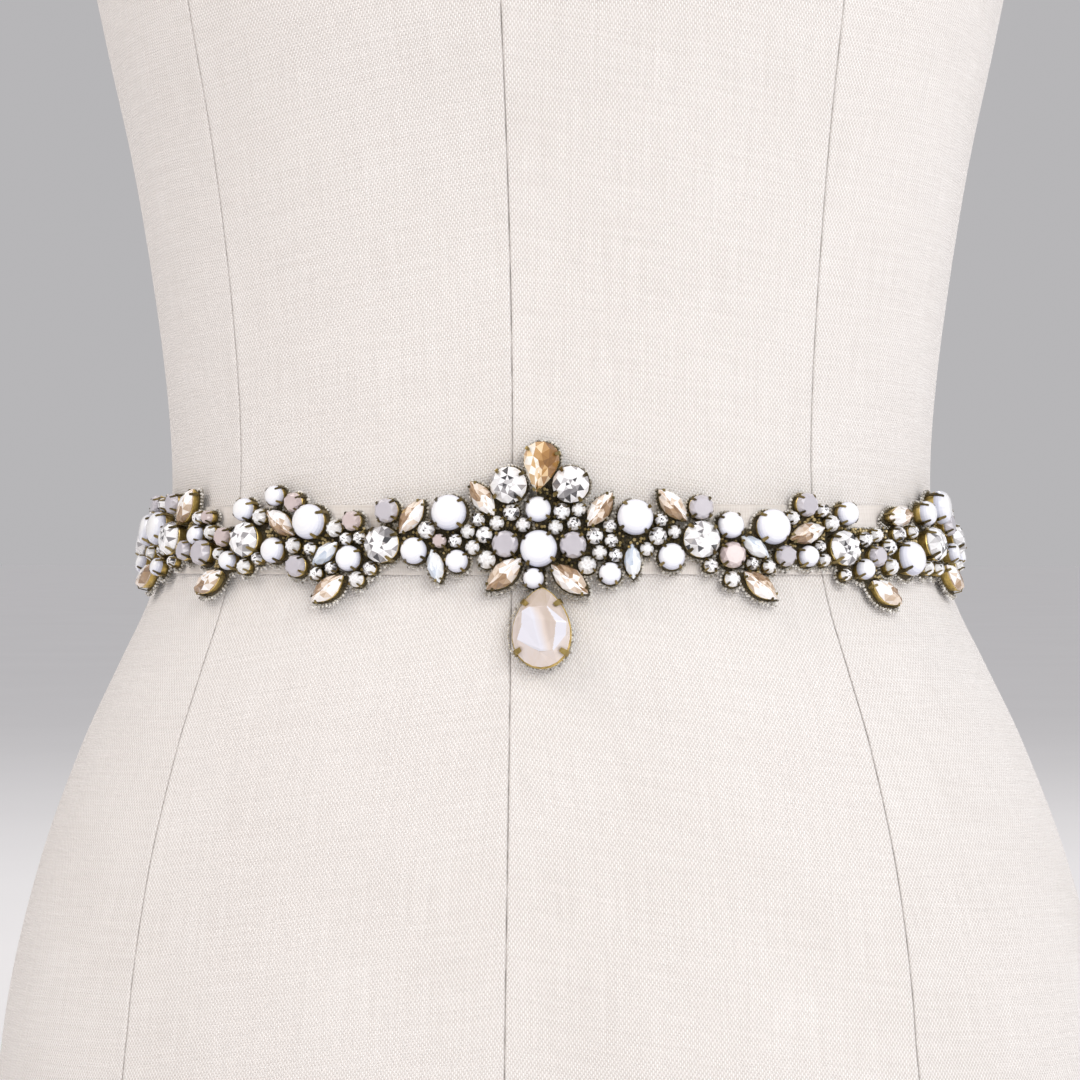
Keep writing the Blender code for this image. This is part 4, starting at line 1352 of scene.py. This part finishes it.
# Bright bands of the table, painted reflections, each between a left and a right line of shares of the
# length and the half width, and how far to the right it fades out
DROP_BANDS = (
    (((0.24, -0.66), (0.30, -0.66), (0.47, -0.64), (0.66, -0.80), (0.76, -0.40), (0.81, 0.0)),
     ((0.24, -0.40), (0.40, -0.16), (0.60, -0.06), (0.81, 0.10)), 0.36),
    (((0.235, 0.20), (0.44, 0.54), (0.62, 0.50), (0.80, 0.42)),
     ((0.235, 0.24), (0.42, 0.92), (0.60, 0.92), (0.80, 0.48)), 0.0),
)
DROP_PLAIN = 0.42
DROP_BRIGHT = 1.10
TABLE_ROWS = 44
TABLE_COLUMNS = 34
# Tones of the drop's back, its side and its bevels, painted as the light falls on each, and how much darker
# the bevels are at its top, a painted shade
BACK_TONE = 0.4
SIDE_TONE = 0.6
BEVEL_TONE = 0.62
BEVEL_DARKER = 0.34
# The gold plate's rings, as scale and height above the drop's seat, and its claws' rows: way out and height
# up the side, then way in, height and share of the claw's width over the bevel
PLATE_SIDES = 48
PLATE_LOW = -(SETTING_WALL + DROP_SEAT + 0.6)
PLATE_RINGS = ((0.86, PLATE_LOW), (1.03, PLATE_LOW + 0.2), (1.03, 0.9), (0.97, 0.9), (0.95, 0.3))
DROP_CLAW_SIDE = ((0.4, -1.2), (0.5, 1.6))
DROP_CLAW_OVER = ((-0.3, 2.7, 1.0), (0.7, 3.5, 0.95), (1.6, 4.3, 0.75))
DROP_CLAW_WALL = 0.45
DROP_CLAW_HALF = 0.85
# The drop claws' dark tone: partly patina, partly painted shade
DROP_CLAW_TONE = 0.45


def drop_frame():
    middle = drop_middle()
    point, along, up, outward = surface_frame(middle.x, middle.y)
    seat = APPLIQUE_FACE + SEAM_GAP + SETTING_WALL + DROP_SEAT

    def place(x, y, height):
        return point + along * x + up * y + outward * (seat + height)

    return place


def table_height(across, down):
    """The height of the drop's table at a place, from the flat faces that it is cut in."""
    corners = DROP_FACE + DROP_RIDGE
    for face in DROP_TABLE:
        for second, third in zip(face[1:], face[2:]):
            (ax, ay, az), (bx, by, bz), (cx, cy, cz) = [corners[index] for index in (face[0], second, third)]
            area = (bx - ax) * (cy - ay) - (cx - ax) * (by - ay)
            to_b = ((across - ax) * (cy - ay) - (cx - ax) * (down - ay)) / area
            to_c = ((bx - ax) * (down - ay) - (across - ax) * (by - ay)) / area
            if min(to_b, to_c, 1 - to_b - to_c) > -1e-6:
                return az + to_b * (bz - az) + to_c * (cz - az)
    return corners[0][2]


def band_tone(across, down):
    """How bright the table is at a place: full in its two bands of painted reflection, the left one fading
    out to the right.
    """
    for left, right, fade in DROP_BANDS:
        if left[0][0] <= down <= left[-1][0]:
            start = between(down, [row[0] for row in left], [row[1] for row in left])
            end = between(down, [row[0] for row in right], [row[1] for row in right])
            if start <= across <= end + fade:
                share = 1 - max(across - end + 0.1, 0.0) / (fade + 0.1) if fade else 1.0
                return DROP_PLAIN + (DROP_BRIGHT - DROP_PLAIN) * min(share, 1.0)
    return DROP_PLAIN


def drop_spot(place, across, down, level):
    """A point of the drop's face from shares of its half width, its length and its thickness."""
    return place(across * DROP_WIDTH / 2, DROP_LENGTH * (0.5 - down), level * DROP_THICKNESS)


def add_drop_table(heap, place):
    """The table in small cells, so that its painted bright bands can fade."""
    border = [Vector(corner[:2]) for corner in DROP_FACE][::-1]
    extra = []
    for row in range(1, TABLE_ROWS):
        down = DROP_FACE[0][1] + (DROP_FACE[4][1] - DROP_FACE[0][1]) * row / TABLE_ROWS
        for column in range(-TABLE_COLUMNS, TABLE_COLUMNS):
            spot = Vector(((column + 0.5) / TABLE_COLUMNS, down))
            if inside(border, spot):
                extra.append(spot)
    corners, triangles = filled(border, extra)
    points = [drop_spot(place, *corner, table_height(*corner)) for corner in corners]
    tones = []
    for face in triangles:
        middle = sum((corners[index] for index in face), Vector((0.0, 0.0))) / 3
        tones.append(band_tone(middle.x, middle.y))
    heap.add(points, [tuple(reversed(face)) for face in triangles], tones)


def nearest_corner(side):
    """The corner of the drop's face that a point of its girdle leads to."""
    return min(int(side / DROP_MAINS * len(DROP_FACE)), len(DROP_FACE) - 1)


def build_drop(material, gold):
    """The pear stone with its long bevels and satin table, its bright bands painted reflections, and the
    gold plate and claws behind it.
    """
    place = drop_frame()
    points = stacked(drop_ring(DROP_MAINS), DROP_RINGS, place, DROP_THICKNESS)
    faces = [tuple(reversed(range(DROP_MAINS)))] + tube_faces(len(DROP_RINGS), DROP_MAINS)
    tones = [BACK_TONE] + [SIDE_TONE] * (len(faces) - 1)
    first = len(points)
    last = first - DROP_MAINS
    points += [drop_spot(place, *corner) for corner in DROP_FACE + DROP_RIDGE]
    for side in range(DROP_MAINS):
        after = (side + 1) % DROP_MAINS
        near = nearest_corner(side)
        near_after = nearest_corner(after)
        # Bevels painted darker towards the drop's top: a painted shade
        tone = BEVEL_TONE - BEVEL_DARKER * max(math.cos(ROUND * side / DROP_MAINS), 0.0) ** 2
        faces.append((last + side, last + after, first + near))
        tones.append(tone)
        if near != near_after:
            faces.append((last + after, first + near_after, first + near))
            tones.append(tone + 0.04)
    heap = Heap()
    heap.add(points, faces, tones)
    add_drop_table(heap, place)
    heap.build("drop_glass", material, "drop_glass", ["drop_stone"], smooth=False)
    metal = Heap()
    faces = [tuple(reversed(range(PLATE_SIDES)))] + tube_faces(len(PLATE_RINGS), PLATE_SIDES)
    metal.add(stacked(drop_ring(PLATE_SIDES), PLATE_RINGS, place), faces)
    for turn in PRONG_TURNS:
        add_drop_claw(metal, place, math.radians(turn))
    metal.build("drop_claws", gold, "setting_gold", ["drop_setting"])


def add_drop_claw(heap, place, turn):
    """A broad claw of the drop's setting: up the side, then over the bevel."""
    edge, before, after = [pear_point(DROP_LENGTH, DROP_WIDTH, -turn + shift, 1, FULL_PEAR)
                           for shift in (0.0, 0.03, -0.03)]
    tangent = (after - before).normalized()
    outward = Vector((tangent.y, -tangent.x))
    rows = [(edge + outward * out, outward * DROP_CLAW_WALL, height, 0.0, 1.0)
            for out, height in DROP_CLAW_SIDE]
    for inward, height, share in DROP_CLAW_OVER:
        rows.append((edge - outward * inward, outward * 0.0, height, DROP_CLAW_WALL, share))
    add_strip(heap, place, rows, tangent * DROP_CLAW_HALF, DROP_CLAW_TONE)


# Lap stitches: how many to a row, how far a row stays from the ribbon's edges, and how far each row is from
# the ribbon's end. A stitch has a way along and a way out for each ring of its thread
STITCH_COUNT = 9
STITCH_INSET = 1.6
STITCH_ROWS = (2.4, LAP_LENGTH - 8.0)
STITCH_RINGS = ((-0.9, -0.37), (-0.45, -0.13), (0.45, -0.13), (0.9, -0.37))
STITCH_SIDES = 6
STITCH_RADIUS = 0.17


def build_lap_stitches(material):
    """The two rows of hand stitches that close the ribbon's lap at the centre back."""
    _, end = ribbon_ends()
    heap = Heap()
    face = CLEAR_OF_FORM + 2 * RIBBON_WALL + SEAM_GAP
    caps = [tuple(reversed(range(STITCH_SIDES))),
            tuple(STITCH_SIDES * (len(STITCH_RINGS) - 1) + corner for corner in range(STITCH_SIDES))]
    reach = RIBBON_WIDTH / 2 - STITCH_INSET
    for stitch in range(STITCH_COUNT):
        up = reach * (2 * stitch / (STITCH_COUNT - 1) - 1)
        for before in STITCH_ROWS:
            point, side, rise, outward = surface_frame(end - before, up)
            points = []
            for step, lift in STITCH_RINGS:
                centre = point + side * step + outward * (face + lift)
                for corner in range(STITCH_SIDES):
                    turn = ROUND * corner / STITCH_SIDES
                    away = rise * math.cos(turn) + outward * math.sin(turn)
                    points.append(centre + away * STITCH_RADIUS)
            heap.add(points, caps + tube_faces(len(STITCH_RINGS), STITCH_SIDES))
    return heap.build("lap_stitches", material, "ribbon_satin")


# The floor's reach, the world's colour and strength, and each light's place, side, power and colour
FLOOR_REACH = 30.0
WORLD_COLOUR = (0.80, 0.79, 0.81, 1.0)
WORLD_STRENGTH = 0.59
LIGHTS = {
    "key": ((1.1, -1.6, 1.2), 1.2, 22.0, (1.0, 0.985, 0.98)),
    "fill": ((-1.2, -0.9, 1.5), 1.0, 12.0, (1.0, 0.92, 0.86)),
    "rim": ((1.6, 0.4, 0.5), 0.9, 3.5, (0.97, 0.97, 1.0)),
    "back": ((0.0, 1.3, 1.9), 0.9, 11.0, (1.0, 0.98, 0.96)),
}
SKY_POWER = 0.19
SKY_SPREAD = 70.0
SKY_TILT = 18.0


def build_stage():
    """A pale floor that runs out of sight."""
    look = Look("floor_paint", (0.90, 0.89, 0.895), 0.95)
    cloud = look.noise(look.object_place(), 3.0)
    look.paint(look.ramp(cloud, ((0.3, (0.89, 0.88, 0.885)), (0.7, (0.91, 0.90, 0.905)))))
    far = FLOOR_REACH
    corners = [(-far, -far, 0.0), (far, -far, 0.0), (far, far, 0.0), (-far, far, 0.0)]
    make_object("floor", corners, [(0, 1, 2, 3)], look.material)


def build_world():
    world = bpy.data.worlds.new("studio")
    world.use_nodes = True
    bpy.context.scene.world = world
    shade = world.node_tree.nodes["Background"]
    shade.inputs["Color"].default_value = WORLD_COLOUR
    shade.inputs["Strength"].default_value = WORLD_STRENGTH


def build_lights():
    """Soft square lights that face the waist, and a wide weak one from above."""
    waist = Vector((0.0, 0.0, WAIST_HEIGHT * MM))
    for name, (place, side, power, colour) in LIGHTS.items():
        light = bpy.data.lights.new(name, "AREA")
        light.shape = "SQUARE"
        light.size = side
        light.energy = power
        light.color = colour
        made = put_in_scene(name, light)
        made.location = place
        made.rotation_euler = (waist - Vector(place)).to_track_quat("-Z", "Y").to_euler()
    sky = bpy.data.lights.new("sky", "SUN")
    sky.energy = SKY_POWER
    sky.angle = math.radians(SKY_SPREAD)
    put_in_scene("sky", sky).rotation_euler = (math.radians(SKY_TILT), 0.0, 0.0)


def build_camera():
    turn = math.radians(CAMERA_TURN)
    forward = Vector((-math.sin(turn), math.cos(turn), 0.0))
    right = Vector((math.cos(turn), math.sin(turn), 0.0))
    camera = bpy.data.cameras.new("camera")
    camera.sensor_width = SENSOR
    camera.lens = LENS
    camera.clip_start = 0.01
    made = put_in_scene("camera", camera)
    made.location = right * CAMERA_SIDESTEP - forward * CAMERA_DISTANCE + Vector((0, 0, WAIST_HEIGHT * MM))
    made.rotation_euler = forward.to_track_quat("-Z", "Y").to_euler()
    bpy.context.scene.camera = made


def build():
    bpy.context.scene.view_settings.view_transform = "Standard"
    build_camera()
    build_world()
    build_lights()
    build_stage()
    gold = gold_material()
    materials = {kind: stone_material(*look) for kind, look in STONE_LOOKS.items()}
    build_form_cover(linen_material())
    ribbon_weave = ribbon_material()
    cloth, length = build_ribbon(ribbon_weave)
    build_lap_stitches(ribbon_weave)
    stones = read_stones()
    border = applique_border(stones)
    build_backing(border, backing_material())
    build_edge_beads(border, materials["bead"])
    build_gap_beads(border, stones, materials["gap_bead"])
    build_stones(stones, materials, gold)
    build_drop(drop_material(), gold)


build()
